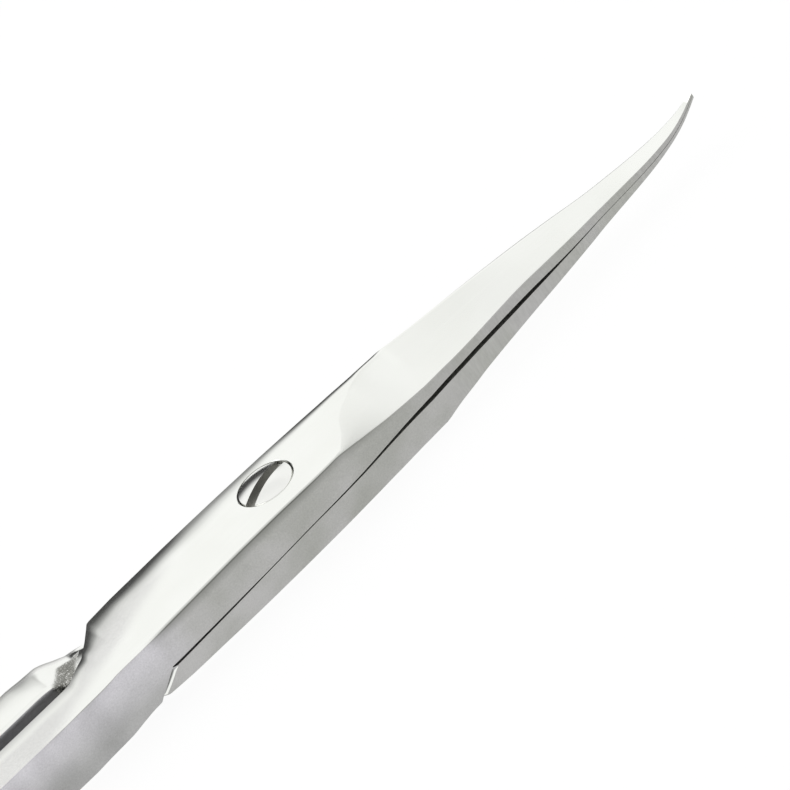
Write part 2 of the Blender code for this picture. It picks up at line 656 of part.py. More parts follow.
def build():
    """Clear the scene and make the nail scissors."""
    for thing in list(bpy.data.objects):
        bpy.data.objects.remove(thing)
    parts = bpy.data.collections.new("nail_scissors")
    cutters = bpy.data.collections.new("cutters")
    bpy.context.scene.collection.children.link(parts)
    bpy.context.scene.collection.children.link(cutters)

    upper = make_half("screw_side_half", 1, (UPPER_RELIEF, UPPER_RELIEF_LENGTH), parts)
    lower = make_half("thread_side_half", -1, (LOWER_RELIEF, LOWER_RELIEF_LENGTH), parts)
    make_screw(parts, cutters)

    over = HALF_THICKNESS + CUT_OVERRUN
    head_seat = HALF_THICKNESS - HEAD_RIM - HEAD_SEAT_CLEARANCE
    cut(upper, cylinder_cutter("pivot_hole_cutter", SCREW_RADIUS + PIVOT_CLEARANCE, -over, over, cutters))
    cut(upper, cylinder_cutter("head_recess_cutter", HEAD_RADIUS + PIVOT_CLEARANCE, head_seat, over, cutters))
    cut(lower, cylinder_cutter("thread_hole_cutter", SCREW_RADIUS + THREAD_CLEARANCE, -over, over, cutters))


build()
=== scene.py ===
"""Curved nail scissors, finished and set up for a studio picture.

The two halves are lofted by the same rule as their plain solids, in finer steps, with the crowned
and rounded edges of forged and polished steel. The pivot screw is turned, threaded and slotted.
"""
import math
from bisect import bisect_right

import bmesh
import bpy
from bpy.props import FloatProperty, FloatVectorProperty, IntProperty, PointerProperty
from mathutils import Matrix, Vector


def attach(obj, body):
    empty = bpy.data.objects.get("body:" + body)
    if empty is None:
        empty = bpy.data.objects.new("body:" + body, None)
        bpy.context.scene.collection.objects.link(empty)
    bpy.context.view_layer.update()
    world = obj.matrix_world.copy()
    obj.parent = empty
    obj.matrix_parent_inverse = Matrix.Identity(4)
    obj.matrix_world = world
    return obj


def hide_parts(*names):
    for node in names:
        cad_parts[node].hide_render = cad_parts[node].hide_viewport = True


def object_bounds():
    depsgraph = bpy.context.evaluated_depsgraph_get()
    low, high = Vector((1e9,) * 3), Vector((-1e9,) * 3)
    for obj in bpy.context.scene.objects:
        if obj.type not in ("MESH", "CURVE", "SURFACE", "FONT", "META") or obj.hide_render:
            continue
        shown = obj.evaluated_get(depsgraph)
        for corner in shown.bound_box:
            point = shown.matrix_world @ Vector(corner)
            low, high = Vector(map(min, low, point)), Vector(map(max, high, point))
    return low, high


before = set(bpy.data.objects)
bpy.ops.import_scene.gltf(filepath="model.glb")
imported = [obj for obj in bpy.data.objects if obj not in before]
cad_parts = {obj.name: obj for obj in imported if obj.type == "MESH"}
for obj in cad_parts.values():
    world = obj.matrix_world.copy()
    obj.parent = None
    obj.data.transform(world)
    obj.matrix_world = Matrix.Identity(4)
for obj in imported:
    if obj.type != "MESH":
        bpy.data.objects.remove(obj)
SOLID_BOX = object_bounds()

bl_info = {
    "name": "Nail Scissors Studio",
    "version": (1, 0, 0),
    "blender": (4, 5, 0),
    "location": "3D View > Sidebar > Scissors",
    "description": "Makes curved nail scissors with their steel finishes, light and camera",
    "category": "Object",
}


# Lengths along the scissors, from the pivot axis, in metres
BLADE_REACH = 0.03272         # to the tips
BLADE_ROOT = 0.0100           # to the kink where the back starts to fall
FACET_START = 0.0038          # to the corner where the polished blade facet begins
NOTCH_FRONT = 0.0125          # back to the corner of the shoulder notch
NOTCH_LENGTH = 0.0041         # the notch, from that corner to the shank's inner wall
SHANK_START = 0.0180          # back to where the shank has its full section
HANDLE_START = 0.0235         # back to where the shank starts to turn round
SHANK_END = 0.0295            # back to where the round handle section begins
LOWER_RELIEF_LENGTH = 0.0067  # the hollow ground into the lower half's shank
UPPER_RELIEF_LENGTH = 0.0030  # the slighter one under the upper half's shank
RING_CENTRE = 0.0490          # back to the middle of the finger rings

# Half widths at the seam, in the pivot region and along the blade
SHOULDER_HALF_WIDTH = 0.00386
PIVOT_HALF_WIDTH = 0.00320
ROOT_HALF_WIDTH = 0.00224
TIP_HALF_WIDTH = 0.00008

# Heights
HALF_THICKNESS = 0.00208      # each half in the lap, and half of the shank
BEVEL_HEIGHT = 0.00064        # the ground strip along the cutting edge, at its widest
TIP_RISE = 0.00116            # how far the tips curve up
SEAM_GAP = 0.00006            # between the two halves at the pivot
BLADE_BOW = 0.00022           # how much further apart they stand between pivot and tip
LOWER_RELIEF = 0.00135        # the hollow ground into the lower half's shank behind the notch
UPPER_RELIEF = 0.00020        # the slighter one under the upper half's shank

# Shanks and finger rings
SHANK_WIDTH = 0.00295
SHANK_GAP = 0.00113           # between the two shanks
WALL_SLANT = 0.00083          # how far a shank leans sideways over its thickness
SHOULDER_CLEARANCE = 0.00020
SHOULDER_START = 0.00003      # width with which the shank's lower storey begins
HANDLE_WIDTH = 0.0029
HANDLE_THICKNESS = 0.0038
HANDLE_SPREAD = 0.00075       # how far a shank moves outward before the round section
RING_WIDTH = 0.0029
RING_THICKNESS = 0.0032
RING_GAP = 0.0012             # between the closed finger rings
FINGER_LENGTH = 0.0230        # inside a finger ring
FINGER_WIDTH = 0.0180

# Pivot screw
SCREW_RADIUS = 0.00100
HEAD_RADIUS = 0.00175
HEAD_RIM = 0.00050            # height of the head's round wall, all of it sunk in the recess
HEAD_DOME = 0.00026
SLOT_WIDTH = 0.00068
SLOT_DEPTH = 0.00050
SCREW_CHAMFER = 0.00015
PIVOT_CLEARANCE = 0.00004     # round the shank and the head in the upper half
THREAD_CLEARANCE = 0.00003    # round the shank in the lower half
THREAD_PITCH = 0.0004
GROOVE_DEPTH = 0.00012        # of the thread
HEAD_SEAT_CLEARANCE = 0.00004
END_SETBACK = 0.00010         # the screw's end stays above the lower half's bottom face
CUT_OVERRUN = 0.00050
MERGE_DISTANCE = 0.000001

# Angles
RING_TILT = math.radians(8)
NECK_ANGLE = math.radians(38)     # where on its finger ring the shank arrives
SLOT_ANGLE = math.radians(20)
SHARP_ANGLE = math.radians(31)

# Counts
RING_SEGMENTS = 20
SECTION_CORNERS = 8
SUBDIVISIONS = 3
CIRCLE_SEGMENTS = 96
DOME_STEPS = 14
BISECTION_STEPS = 40

# Single shares
TIP_GAP_share = 0.25           # of the seam gap, left at the tips
BEVEL_TILT_share = 0.25        # how far the bevel leans in, for its height
BEVEL_LIMIT_share = 0.90       # of the back's height, the most the bevel takes
CORNER_share = 0.10            # of the shorter height, the most an outer edge takes
SHANK_CORNER_share = 0.10      # the same, along the shank's edges
NOTCH_TOP_share = 0.35         # of the notch's broken edge, left at the top
NOTCH_CORNER_share = -0.33     # of the notch, to where its wall leaves the shoulder's full width
FLANK_END_share = 0.08         # of the notch, to where the ground flank is cut away
LOWER_CROWN_share = 0.90       # reach of the crown on the lower storey, for half the thickness
LOWER_SLOPE_share = 0.16       # how steep it ends
SHANK_CROWN_share = 1.06       # both on the shank
SHANK_SLOPE_share = 0.099
CROWN_LIMIT_share = 0.75       # of the way across the top, the most a crown takes
LEG_share = 0.45               # of the way to the next corner, the most a rounded corner takes
SOFT_LEG_share = 0.8           # the same for a corner that is softened with the points beside it
FACING_share = 0.999           # of a face's normal, the least that lies along the way it faces
INNER_FACE_START_share = 0.015  # of the inner face, taken by the lower points of the section
INNER_FACE_END_share = 0.30    # the same further forward
INNER_FACE_LENGTH_share = 0.25  # of the lap, over which that changes
LEDGE_SPLIT_share = 0.35       # of half the thickness, between the storeys where the ledge is narrow
NECK_BEND_share = 0.55         # of the way to the finger ring, to where the neck bends


def mix(start, end, share):
    """Give the value that lies a share of the way from start to end."""
    return start + (end - start) * share


def mix_points(start, end, share):
    """Give the point that lies a share of the way from start to end."""
    return tuple(mix(a, b, share) for a, b in zip(start, end))


def limit(value, low, high):
    """Keep a value between two others."""
    return min(max(value, low), high)


def ease(share):
    """Turn a share of the way into one that starts and ends gently."""
    share = limit(share, 0.0, 1.0)
    return share * share * (3 - 2 * share)


def ease_between(value, start, end):
    """Give how far a value has come from a start to an end, with a gentle start and end."""
    return ease((value - start) / (end - start))


def smooth_through(points):
    """Give a function that runs smoothly through (place, value) points and never overshoots them."""
    places = [place for place, _ in points]
    values = [value for _, value in points]
    steps = [after - before for before, after in zip(places, places[1:])]
    slopes = [(after - before) / step for before, after, step in zip(values, values[1:], steps)]
    tangents = [slopes[0]]
    for before, after in zip(slopes, slopes[1:]):
        tangents.append(2 * before * after / (before + after) if before * after > 0 else 0.0)
    tangents.append(slopes[-1])

    def value_at(place):
        place = limit(place, places[0], places[-1])
        i = min(bisect_right(places, place) - 1, len(steps) - 1)
        t = (place - places[i]) / steps[i]
        rise = values[i + 1] - values[i]
        early = tangents[i] * steps[i] - rise
        late = tangents[i + 1] * steps[i] - rise
        return values[i] + t * rise + t * (1 - t) * ((1 - t) * early - t * late)

    return value_at


# Shares of a length, each paired with a share of the size that changes along it
SHOULDER_WIDTH_shares = ((0.12, 0.03), (0.28, 0.165), (0.52, 0.41), (0.76, 0.69))
ROOT_WIDTH_shares = (
    (0.0, 0.0), (0.15, 0.075), (0.30, 0.18), (0.42, 0.29), (0.50, 0.395), (0.60, 0.55), (0.80, 0.82),
    (1.0, 1.0))
BLADE_WIDTH_shares = (
    (0.06, 0.965), (0.11, 0.935), (0.167, 0.905), (0.264, 0.848), (0.352, 0.776), (0.44, 0.710),
    (0.505, 0.645), (0.571, 0.553), (0.615, 0.485), (0.659, 0.437), (0.703, 0.405), (0.747, 0.370),
    (0.791, 0.333), (0.835, 0.292), (0.879, 0.241), (0.914, 0.186), (0.941, 0.130), (0.967, 0.073),
    (0.985, 0.028), (1.0, 0.0))
back_share = smooth_through((
    (0.0, 1.0), (0.013, 0.985), (0.031, 0.945), (0.062, 0.885), (0.11, 0.812), (0.167, 0.722),
    (0.264, 0.622), (0.352, 0.545), (0.44, 0.465), (0.505, 0.405), (0.571, 0.352), (0.615, 0.315),
    (0.659, 0.28), (0.703, 0.245), (0.747, 0.213), (0.791, 0.182), (0.835, 0.15), (0.879, 0.119),
    (0.923, 0.099), (0.967, 0.087), (1.0, 0.08)))
bevel_share = smooth_through((
    (0.0, 1.15), (0.031, 1.08), (0.062, 1.03), (0.11, 0.95), (0.167, 0.91), (0.264, 0.975), (0.32, 1.0),
    (0.352, 0.985), (0.44, 0.88), (0.505, 0.78), (0.571, 0.677), (0.615, 0.612), (0.659, 0.568),
    (0.703, 0.543), (0.747, 0.508), (0.791, 0.456), (0.835, 0.41), (0.879, 0.355), (0.923, 0.295),
    (0.967, 0.22), (1.0, 0.17)))
root_bevel_share = smooth_through((
    (0.0, 0.0), (0.044, 0.034), (0.103, 0.112), (0.1765, 0.216), (0.25, 0.325), (0.281, 0.372),
    (0.387, 0.506), (0.55, 0.70), (0.71, 0.83), (0.88, 0.937), (1.0, 1.0)))
crease_share = smooth_through((
    (0.0, 0.05), (0.135, 0.22), (0.277, 0.50), (0.49, 0.70), (0.60, 0.82), (0.81, 0.92), (1.0, 0.92)))
rise_share = smooth_through((
    (0.0, 0.0), (0.06, 0.06), (0.11, 0.09), (0.167, 0.135), (0.264, 0.172), (0.352, 0.18),
    (0.44, 0.172), (0.505, 0.157), (0.571, 0.135), (0.615, 0.123), (0.659, 0.113), (0.703, 0.115),
    (0.747, 0.121), (0.791, 0.142), (0.835, 0.192), (0.879, 0.285), (0.914, 0.41), (0.941, 0.544),
    (0.967, 0.726), (0.985, 0.867), (1.0, 1.0)))
bow_share = smooth_through((
    (-1.0, 0.55), (-0.67, 0.33), (-0.42, 0.17), (-0.27, 0.0), (0.0, 0.0), (0.05, 0.08), (0.15, 0.30),
    (0.20, 0.45), (0.263, 0.74), (0.325, 0.96), (0.40, 1.0), (0.51, 1.0), (0.58, 0.75), (0.635, 0.35),
    (0.70, 0.10), (0.745, 0.0)))
free_edge_share = smooth_through((
    (-1.0, 0.655), (-0.72, 0.712), (-0.40, 0.755), (-0.24, 0.769), (0.0, 0.780), (0.092, 0.772),
    (0.153, 0.782), (0.214, 0.812), (0.305, 0.825), (0.38, 0.87), (0.44, 0.905), (0.61, 0.918),
    (0.80, 0.925), (1.0, 0.94)))
outer_lean_share = smooth_through((
    (-1.0, 0.085), (-0.7, 0.10), (-0.4, 0.09), (-0.2, 0.045), (0.0, -0.04), (0.05, -0.08),
    (0.096, -0.10), (0.119, -0.073), (0.134, -0.048), (0.15, -0.025), (0.2, 0.0)))
notch_share = smooth_through((
    (-0.55, 1.25), (NOTCH_CORNER_share, 1.0), (0.0, 0.667), (0.234, 0.42), (0.317, 0.35), (0.402, 0.26),
    (0.549, 0.18), (0.69, 0.10), (0.837, 0.02), (1.0, 0.0)))
shank_blend_share = smooth_through((
    (0.0, 0.0), (0.14, 0.03), (0.27, 0.16), (0.38, 0.44), (0.49, 0.65), (0.62, 0.73), (0.80, 0.82),
    (1.0, 1.0)))
outer_relief_share = smooth_through((
    (0.0, 1.18), (0.037, 1.14), (0.094, 1.007), (0.154, 0.89), (0.224, 0.78), (0.278, 0.63),
    (0.358, 0.43), (0.418, 0.263), (0.47, 0.14), (0.522, 0.06), (0.672, 0.03), (0.82, 0.0),
    (1.0, 0.0)))
inner_relief_share = smooth_through((
    (0.0, 0.74), (0.38, 0.74), (0.45, 0.667), (0.507, 0.452), (0.552, 0.244), (0.597, 0.074),
    (0.672, 0.02), (0.75, 0.0), (1.0, 0.0)))

# Crowned top edge: how far it reaches across and how steep it ends, along the lap and the notch
crown_reach = smooth_through((
    (-1.0, 1.40), (-0.88, 1.1), (-0.8, 0.93), (-0.64, 0.985), (-0.48, 0.88), (-0.32, 0.95),
    (-0.16, 0.77), (0.0, 0.58), (0.06, 0.455), (0.12, 0.38), (0.20, 0.24), (0.30, 0.16), (1.0, 0.16)))
crown_slope = smooth_through((
    (-1.0, 0.21), (-0.8, 0.22), (-0.64, 0.202), (-0.48, 0.182), (-0.32, 0.139), (-0.16, 0.134),
    (0.06, 0.142), (0.12, 0.172), (0.20, 0.21), (0.30, 0.25), (1.0, 0.27)))
notch_reach = smooth_through((
    (0.0, 1.40), (0.15, 1.10), (0.30, 0.80), (0.60, 0.60), (0.85, 0.68), (1.0, 0.77)))
notch_slope = smooth_through(((0.0, 0.21), (0.30, 0.205), (0.60, 0.16), (0.85, 0.11), (1.0, 0.087)))

EVEN_shares = (0.0, 0.25, 0.5, 0.75)
BOTTOM_shares = (0.0, 0.2, 0.4, 0.6, 0.8)
CREASE_BEFORE_shares = (0.0, 0.13, 0.3, 0.5, 0.7, 0.84, 0.92, 0.97)
CREASE_AFTER_shares = (0.0, 0.06, 0.5, 0.95)

# Places of the cross-sections, as shares of the blade, its root, the lap, the notch and the shank
BLADE_STATION_shares = (
    1.0, 0.985, 0.965, 0.94, 0.91, 0.875, 0.835, 0.79, 0.73, 0.66, 0.59, 0.52, 0.455, 0.39, 0.32, 0.25,
    0.18, 0.12, 0.075, 0.04, 0.015, 0.0)
ROOT_STATION_shares = (0.82, 0.64, 0.46, 0.3, 0.15, 0.07, 0.0)
PIVOT_STATION_shares = (0.6, 0.2, -0.15, -0.32, -0.49, -0.66, -0.82)
SHOULDER_STATION_shares = (0.4, 0.7)
NOTCH_STATION_shares = (0.0, 0.06, 0.14, 0.23, 0.31, 0.38, 0.45, 0.53, 0.62, 0.72, 0.82, 0.91, 1.0)
SHANK_STATION_shares = (0.5, 1.0)
HANDLE_STATION_shares = (0.0, 0.2, 0.4, 0.6, 0.8)
NECK_STATION_shares = (0.28, 0.54, 0.78)

# Derived places
NOTCH_REAR = NOTCH_FRONT + NOTCH_LENGTH
BLADE_LENGTH = BLADE_REACH - BLADE_ROOT
RING_LENGTH_RADIUS = FINGER_LENGTH / 2 + RING_WIDTH / 2
RING_WIDTH_RADIUS = FINGER_WIDTH / 2 + RING_WIDTH / 2
RING_REACH = RING_WIDTH / 2 + math.hypot(
    RING_LENGTH_RADIUS * math.cos(RING_TILT), RING_WIDTH_RADIUS * math.sin(RING_TILT))
RING_SPREAD = RING_WIDTH / 2 + math.hypot(
    RING_WIDTH_RADIUS * math.cos(RING_TILT), RING_LENGTH_RADIUS * math.sin(RING_TILT))
RING_OFFSET = RING_GAP / 2 + RING_SPREAD
PIVOT_PLACE = (RING_CENTRE + RING_REACH - BLADE_REACH) / 2

# A closed B-spline through evenly spaced control points lies inside them by this share
SECTION_SHRINK_share = (2 + math.cos(2 * math.pi / SECTION_CORNERS)) / 3
PATH_SHRINK_share = (2 + math.cos(2 * math.pi / RING_SEGMENTS)) / 3

# Fine steps and broken edges
PLAIN_STEP = 0.00035          # between cross-sections
NOTCH_STEP = 0.00012          # the same beside the shoulder notch
SHANK_ROW = 0.00004           # between the rows of points down the screw's shank
HEAD_BREAK = 0.00003          # at the head's lower edge
RIM_BREAK = 0.00008           # width of the broken edge round the head's top
RIM_DEPTH = 0.00015           # its height
FACET_LEAD = 0.0006           # the facet's outer edge starts to fall this far before its corner
SHOULDER_SLANT = 0.00030      # how far the lower storey's front leans back down to the bottom
SHANK_ROUNDING = 0.00050      # of the shank's inner edge on its lower storey
# Rows down the flank by the notch: how far each lies from the notch's wall, its least and largest share
BREAK_LIMITS = ((-0.00014, 0.02, 0.91), (-0.00007, 0.04, 0.94), (0.00006, 0.06, 0.97))

# Where the finishes change, from the pivot axis
DULL_START = 0.0062           # back to where the upper half's polish starts to turn dull, and the flanks of both shanks take their painted light and shade
DULL_END = 0.0122
DULL_LEAN_share = 2.5         # how much further back that is, for the distance to the outer wall
DULL_REACH = 0.0005           # the lean ends this far beyond the middle
FLANK_LEAN = -0.0005          # the place across that stands for the whole flank
FLANK_SHADE_LOW = -0.0010            # heights over the seam between which painted light makes the shank's flank lighter upward, painted shade darker downward
FLANK_LIGHT_HIGH = 0.0017
EDGE_FADE_START = 0.0100      # back to where the painted dark shade along the top edge begins to fade
EDGE_FADE_END = 0.0122
UNDERSIDE_EDGE_START = 0.0105  # back to where painted dark shade lies along the edge of the lower half's storey
NOTCH_SHADE_START = 0.01115    # back to where painted shade darkens the notch's wall
DARK_FADE = 0.0004            # over which both come in
ACROSS_START = 0.0080         # on the blade, where the flanks start to be ground across
ACROSS_FULL = 0.0140
HOLLOW_START = 0.01535        # back to where the shank's hollow is left rough, at the middle
HOLLOW_END = 0.0166
HOLLOW_FADE = 0.0005
HOLLOW_LEAN_share = 0.70      # how far those places run forward, for the distance from the middle

# Values kept on the points of a half, and the points of a cross-section that have them
KEPT_VALUES = ("handle", "dull", "across", "hollow", "edge")
HOLLOW_POINTS = range(4, 20)
FLANK_POINTS = (*range(54, 64), 0, 1)
INNER_CORNER_POINT = 28       # where the inner face meets the free edge
NOTCH_POINTS = (28, 29)
# Points that take painted dark shade along the top edge, and how strongly
EDGE_SHADE_POINTS = {49: 0.15, 50: 0.35, 51: 0.7, 52: 1.0, 53: 1.0, 54: 1.0, 55: 1.0, 56: 0.6}
CROWN_POINTS = {32: 0.0, 33: 0.0, 34: 0.0, 35: 0.0, 36: 0.25, 37: 0.5, 38: 0.75, 39: 0.9}
UNDERSIDE_EDGE_SHADE_share = 0.75

# Steel
FINISHES = ("polished", "satin", "ground", "raw")
PATCHES_PER_METRE = 260.0
GRAIN_CONTRAST = 1.6
GRAIN_NOISE = (3.0, 0.6)      # detail and roughness of its noise
MARK_NOISE = (4.0, 0.65)      # the same for the marks
SLOW_DETAIL = 2.0             # of the noise that clouds the steel and tints the floor
DRIFT_RANGE = (0.3, 0.7)      # of that noise, between the two tones
BREAK_UP_shares = (0.5, 0.75)  # what breaking up adds to a kept value, and what is there without it
COME_IN_RANGE = (0.05, 0.95)  # of a kept value, between nothing and the whole finish
ROUGHNESS_shares = (0.85, 1.15)  # lowest and highest, of a finish's roughness
# Fine grain of each finish as (grains per metre, share of the tone, height in metres)
POLISHED_GRAIN = (9000.0, 0.15, 2e-8)
SATIN_GRAIN = (11000.0, 0.6, 2.4e-6)
GROUND_GRAIN = (20000.0, 0.4, 1e-6)
RAW_GRAIN = (12000.0, 0.6, 6e-6)
HEAD_GRAIN = (9000.0, 0.2, 4e-8)
SLOT_GRAIN = (14000.0, 0.6, 4e-6)
# Marks of each finish as (marks per metre along each axis, share of the tone, height in metres, how
# far the tone lifts and lowers the colour)
POLISHED_MARKS = ((60.0, 4200.0, 4200.0), 0.4, 5e-8, 0.04)
SATIN_MARKS = ((8000.0, 8000.0, 300.0), 0.85, 3e-6, 0.22)
GROUND_MARKS = ((8000.0, 300.0, 8000.0), 0.6, 2e-6, 0.14)
RAW_MARKS = ((3000.0, 3000.0, 900.0), 0.3, 3e-6, 0.35)
HEAD_MARKS = ((4200.0, 60.0, 4200.0), 0.5, 5e-8, 0.05)
SLOT_MARKS = ((300.0, 6000.0, 6000.0), 0.4, 2e-6, 0.4)
RUB_GRAIN = (9000.0, 2.0)     # grains per metre and contrast, where shanks and rings are rubbed
RUB_TONE_shares = (0.94, 1.06)
RUB_ROUGHNESS_shares = (0.9, 1.1)
RING_PATCH_share = 0.96       # of the ring's colour, in its darker patches
HEAD_PATCH_share = 0.97       # the same on the screw's head
SLOT_PATCH_share = 1.2        # the same in its slot, where they are lighter
PIT_GRAIN = (8000.0, 5.0)     # grains per metre and contrast in the rough hollow
SPECK_RANGE = (1.05, 1.35)    # tones of the pits between which bright specks come out
HOLLOW_ROUGHNESS = 0.3
HOLLOW_DARK_colour = (0.12, 0.12, 0.10)
HOLLOW_LIGHT_colour = (0.45, 0.45, 0.42)
HOLLOW_SPECK_colour = (0.88, 0.88, 0.85)
HOLLOW_HEIGHT = 0.00002       # of its pits
# Painted dark shade along edges and in the notch's wall: its colour, how its tone varies, and its
# roughness
EDGE_SHADE_colour = (0.13, 0.135, 0.12)
EDGE_SHADE_TONE_shares = (0.75, 0.95)
EDGE_ROUGHNESS = 0.4

# Stage
FLOOR_RADIUS = 10.0
FLOOR_RIM = 0.5
FLOOR_DROP = 0.00002          # the floor lies this far under the scissors
FLOOR_STEPS = 8
FLOOR_ROW_shares = (0.02, 0.2)
FLOOR_TOOTH = 900.0           # specks of the paper per metre
FLOOR_TONE_shares = (0.99, 1.01)
WHITE_colour = (1.0, 1.0, 1.0)
LAMP_SIZE = 0.5
LAMP_PLACE = (-0.25, 0.2, 0.5)
# Light of the tent as (degrees over the horizon, light), on the camera's side and behind the scissors
FRONT_LIGHT_steps = ((0, 0.65), (12, 0.75), (30, 0.9), (50, 0.93), (90, 0.95))
BACK_LIGHT_steps = (
    (0, 0.04), (15, 0.06), (19, 0.28), (23.5, 0.72), (27, 0.93), (30, 0.97), (36, 0.97), (50, 0.88),
    (65, 0.93), (90, 0.95))
SIDE_LIGHT_colour = (0.95, 0.95, 0.95)
SIDE_LIGHT_span = (0.33, 0.50)                # how far to the right it starts and is full
BACK_LIGHT_span = (-0.35, 0.45)               # how far to the back its light starts and is full
VIEW_DIRECTION = (-0.2376, -0.8217, 0.5180)   # from the scissors to the camera
VIEW_RIGHT = (0.7016, -0.5139, -0.4936)       # across the picture
PIXELS_PER_METRE = 18300                      # of the photo, at the scissors
VIEW_WIDTH = 790 / PIXELS_PER_METRE           # of the picture, at the scissors
VIEW_SHIFT = (130.1 / PIXELS_PER_METRE, 88.5 / PIXELS_PER_METRE)   # its middle from the screw's head
CAMERA_SENSOR = 0.036
CAMERA_SPAN = (0.01, 100.0)                   # the nearest and the furthest that it sees


half_width = smooth_through(
    [(-NOTCH_FRONT, SHOULDER_HALF_WIDTH)]
    + [(-NOTCH_FRONT * (1 - place), mix(SHOULDER_HALF_WIDTH, PIVOT_HALF_WIDTH, share))
       for place, share in SHOULDER_WIDTH_shares]
    + [(BLADE_ROOT * place, mix(PIVOT_HALF_WIDTH, ROOT_HALF_WIDTH, share))
       for place, share in ROOT_WIDTH_shares]
    + [(BLADE_ROOT + BLADE_LENGTH * place, mix(TIP_HALF_WIDTH, ROOT_HALF_WIDTH, share))
       for place, share in BLADE_WIDTH_shares])
handle_thickness = smooth_through([
    (-RING_CENTRE, RING_THICKNESS / 2),
    (-RING_CENTRE + RING_REACH, RING_THICKNESS / 2),
    (-SHANK_END, HANDLE_THICKNESS / 2)])


def along_blade(x):
    """Give how far x lies from the blade's root to its tip, as a share."""
    return (x - BLADE_ROOT) / BLADE_LENGTH


def along_root(x):
    """Give how far x lies from the start of the blade facet to the blade's root, as a share."""
    return limit((x - FACET_START) / (BLADE_ROOT - FACET_START), 0.0, 1.0)


def along_edge(x):
    """Give how far x lies along the part of the facet's outer edge that falls to the bevel."""
    start = FACET_START - FACET_LEAD
    return limit((x - start) / (BLADE_ROOT - start), 0.0, 1.0)


def along_lap(x):
    """Give x as a share of the reach to the tip, or behind the pivot of the way to the notch."""
    return x / BLADE_REACH if x > 0 else x / NOTCH_FRONT


def behind_notch(x):
    """Give how far x lies behind the notch's front corner, as a share of the notch."""
    return (-x - NOTCH_FRONT) / NOTCH_LENGTH


def shank_blend(x):
    """Give how far the shoulder has turned into the plain shank at x."""
    return shank_blend_share(limit((-x - NOTCH_FRONT) / (SHANK_START - NOTCH_FRONT), 0.0, 1.0))


def handle_blend(x):
    """Give how far the shank has turned into the round handle at x."""
    return ease_between(-x, HANDLE_START, SHANK_END)


def seam_height(x):
    """Give the height of a half's inner face over the middle of the seam."""
    rest = SEAM_GAP / 2 * mix(1.0, TIP_GAP_share, limit(along_blade(x), 0.0, 1.0))
    return rest + BLADE_BOW / 2 * bow_share(along_lap(x))


def inner_wall(z):
    """Give the place of the shank's slanting inner wall at height z."""
    return -SHANK_GAP / 2 - WALL_SLANT * z / (2 * HALF_THICKNESS)


def notch_wall(x):
    """Give the place of the shoulder notch's wall at x."""
    return mix(inner_wall(HALF_THICKNESS), SHOULDER_HALF_WIDTH, notch_share(behind_notch(x)))


def storey_wall(x, z):
    """Give the inner side of the shank's lower storey, which clears the other half's shoulder."""
    return min(-notch_wall(x) - SHOULDER_CLEARANCE, inner_wall(z))


def has_lower_storey(x):
    """Tell whether the shank already has its lower storey at x."""
    return x < 0 and storey_wall(x, 0) > SHOULDER_START - half_width(x)


def find_shoulder():
    """Give the place where the shank's lower storey begins."""
    front, rear = 0.0, -NOTCH_REAR
    for _ in range(BISECTION_STEPS):
        middle = (front + rear) / 2
        if has_lower_storey(middle):
            rear = middle
        else:
            front = middle
    return rear


def ledge_width(x):
    """Give the width of the ledge between the storeys, as a share of the gap beside the shank."""
    seam = seam_height(x)
    width = max(notch_wall(x), inner_wall(seam)) - storey_wall(x, seam)
    return limit(2 * width / SHANK_GAP, 0.0, 1.0)


SHOULDER_PLACE = find_shoulder()


def section_places():
    """Give the places of all cross-sections, from the tip back to where the handle begins."""
    places = [BLADE_ROOT + BLADE_LENGTH * share for share in BLADE_STATION_shares]
    places += [mix(FACET_START, BLADE_ROOT, share) for share in ROOT_STATION_shares]
    places += [FACET_START * share for share in PIVOT_STATION_shares if share > 0]
    places += [NOTCH_FRONT * share for share in PIVOT_STATION_shares if share < 0]
    places += [SHOULDER_PLACE + SHOULDER_START / 2, SHOULDER_PLACE - SHOULDER_START / 2]
    places += [mix(SHOULDER_PLACE, -NOTCH_FRONT, share) for share in SHOULDER_STATION_shares]
    places += [-NOTCH_FRONT - NOTCH_LENGTH * share for share in NOTCH_STATION_shares]
    places += [mix(-NOTCH_REAR, -SHANK_START, share) for share in SHANK_STATION_shares]
    places += [mix(-HANDLE_START, -SHANK_END, share) for share in HANDLE_STATION_shares]
    return places


def thickness_at(x):
    """Give half the thickness of shank, neck and ring at x."""
    if x < -SHANK_END:
        return handle_thickness(x)
    return mix(HALF_THICKNESS, HANDLE_THICKNESS / 2, handle_blend(x))


def level_at(x):
    """Give how far the half's middle plane is raised at the tip or lowered along the handle."""
    if x > BLADE_ROOT:
        return TIP_RISE * rise_share(along_blade(x))
    return thickness_at(x) - HALF_THICKNESS


def ring_direction(angle):
    """Give the point on the ring's middle line at an angle, and the way that faces outward there."""
    turn = math.cos(-RING_TILT), math.sin(-RING_TILT)
    along = RING_LENGTH_RADIUS * math.cos(angle) / PATH_SHRINK_share
    across = RING_WIDTH_RADIUS * math.sin(angle) / PATH_SHRINK_share
    facing = (math.cos(angle) / RING_LENGTH_RADIUS, math.sin(angle) / RING_WIDTH_RADIUS)
    point = Vector((turn[0] * along - turn[1] * across, turn[1] * along + turn[0] * across))
    out = Vector((turn[0] * facing[0] - turn[1] * facing[1], turn[1] * facing[0] + turn[0] * facing[1]))
    return point + Vector((-RING_CENTRE, -RING_OFFSET)), out.normalized()


def ring_point(segment, corner):
    """Give a control point of the ring, counted from where the shank arrives."""
    angle = NECK_ANGLE + RING_TILT + 2 * math.pi * segment / RING_SEGMENTS
    point, out = ring_direction(angle)
    turn = 2 * math.pi * corner / SECTION_CORNERS
    point = point + out * (RING_WIDTH / 2 * math.cos(turn) / SECTION_SHRINK_share)
    height = RING_THICKNESS / 2 * math.sin(turn) / SECTION_SHRINK_share
    return Vector((point.x, point.y, height))


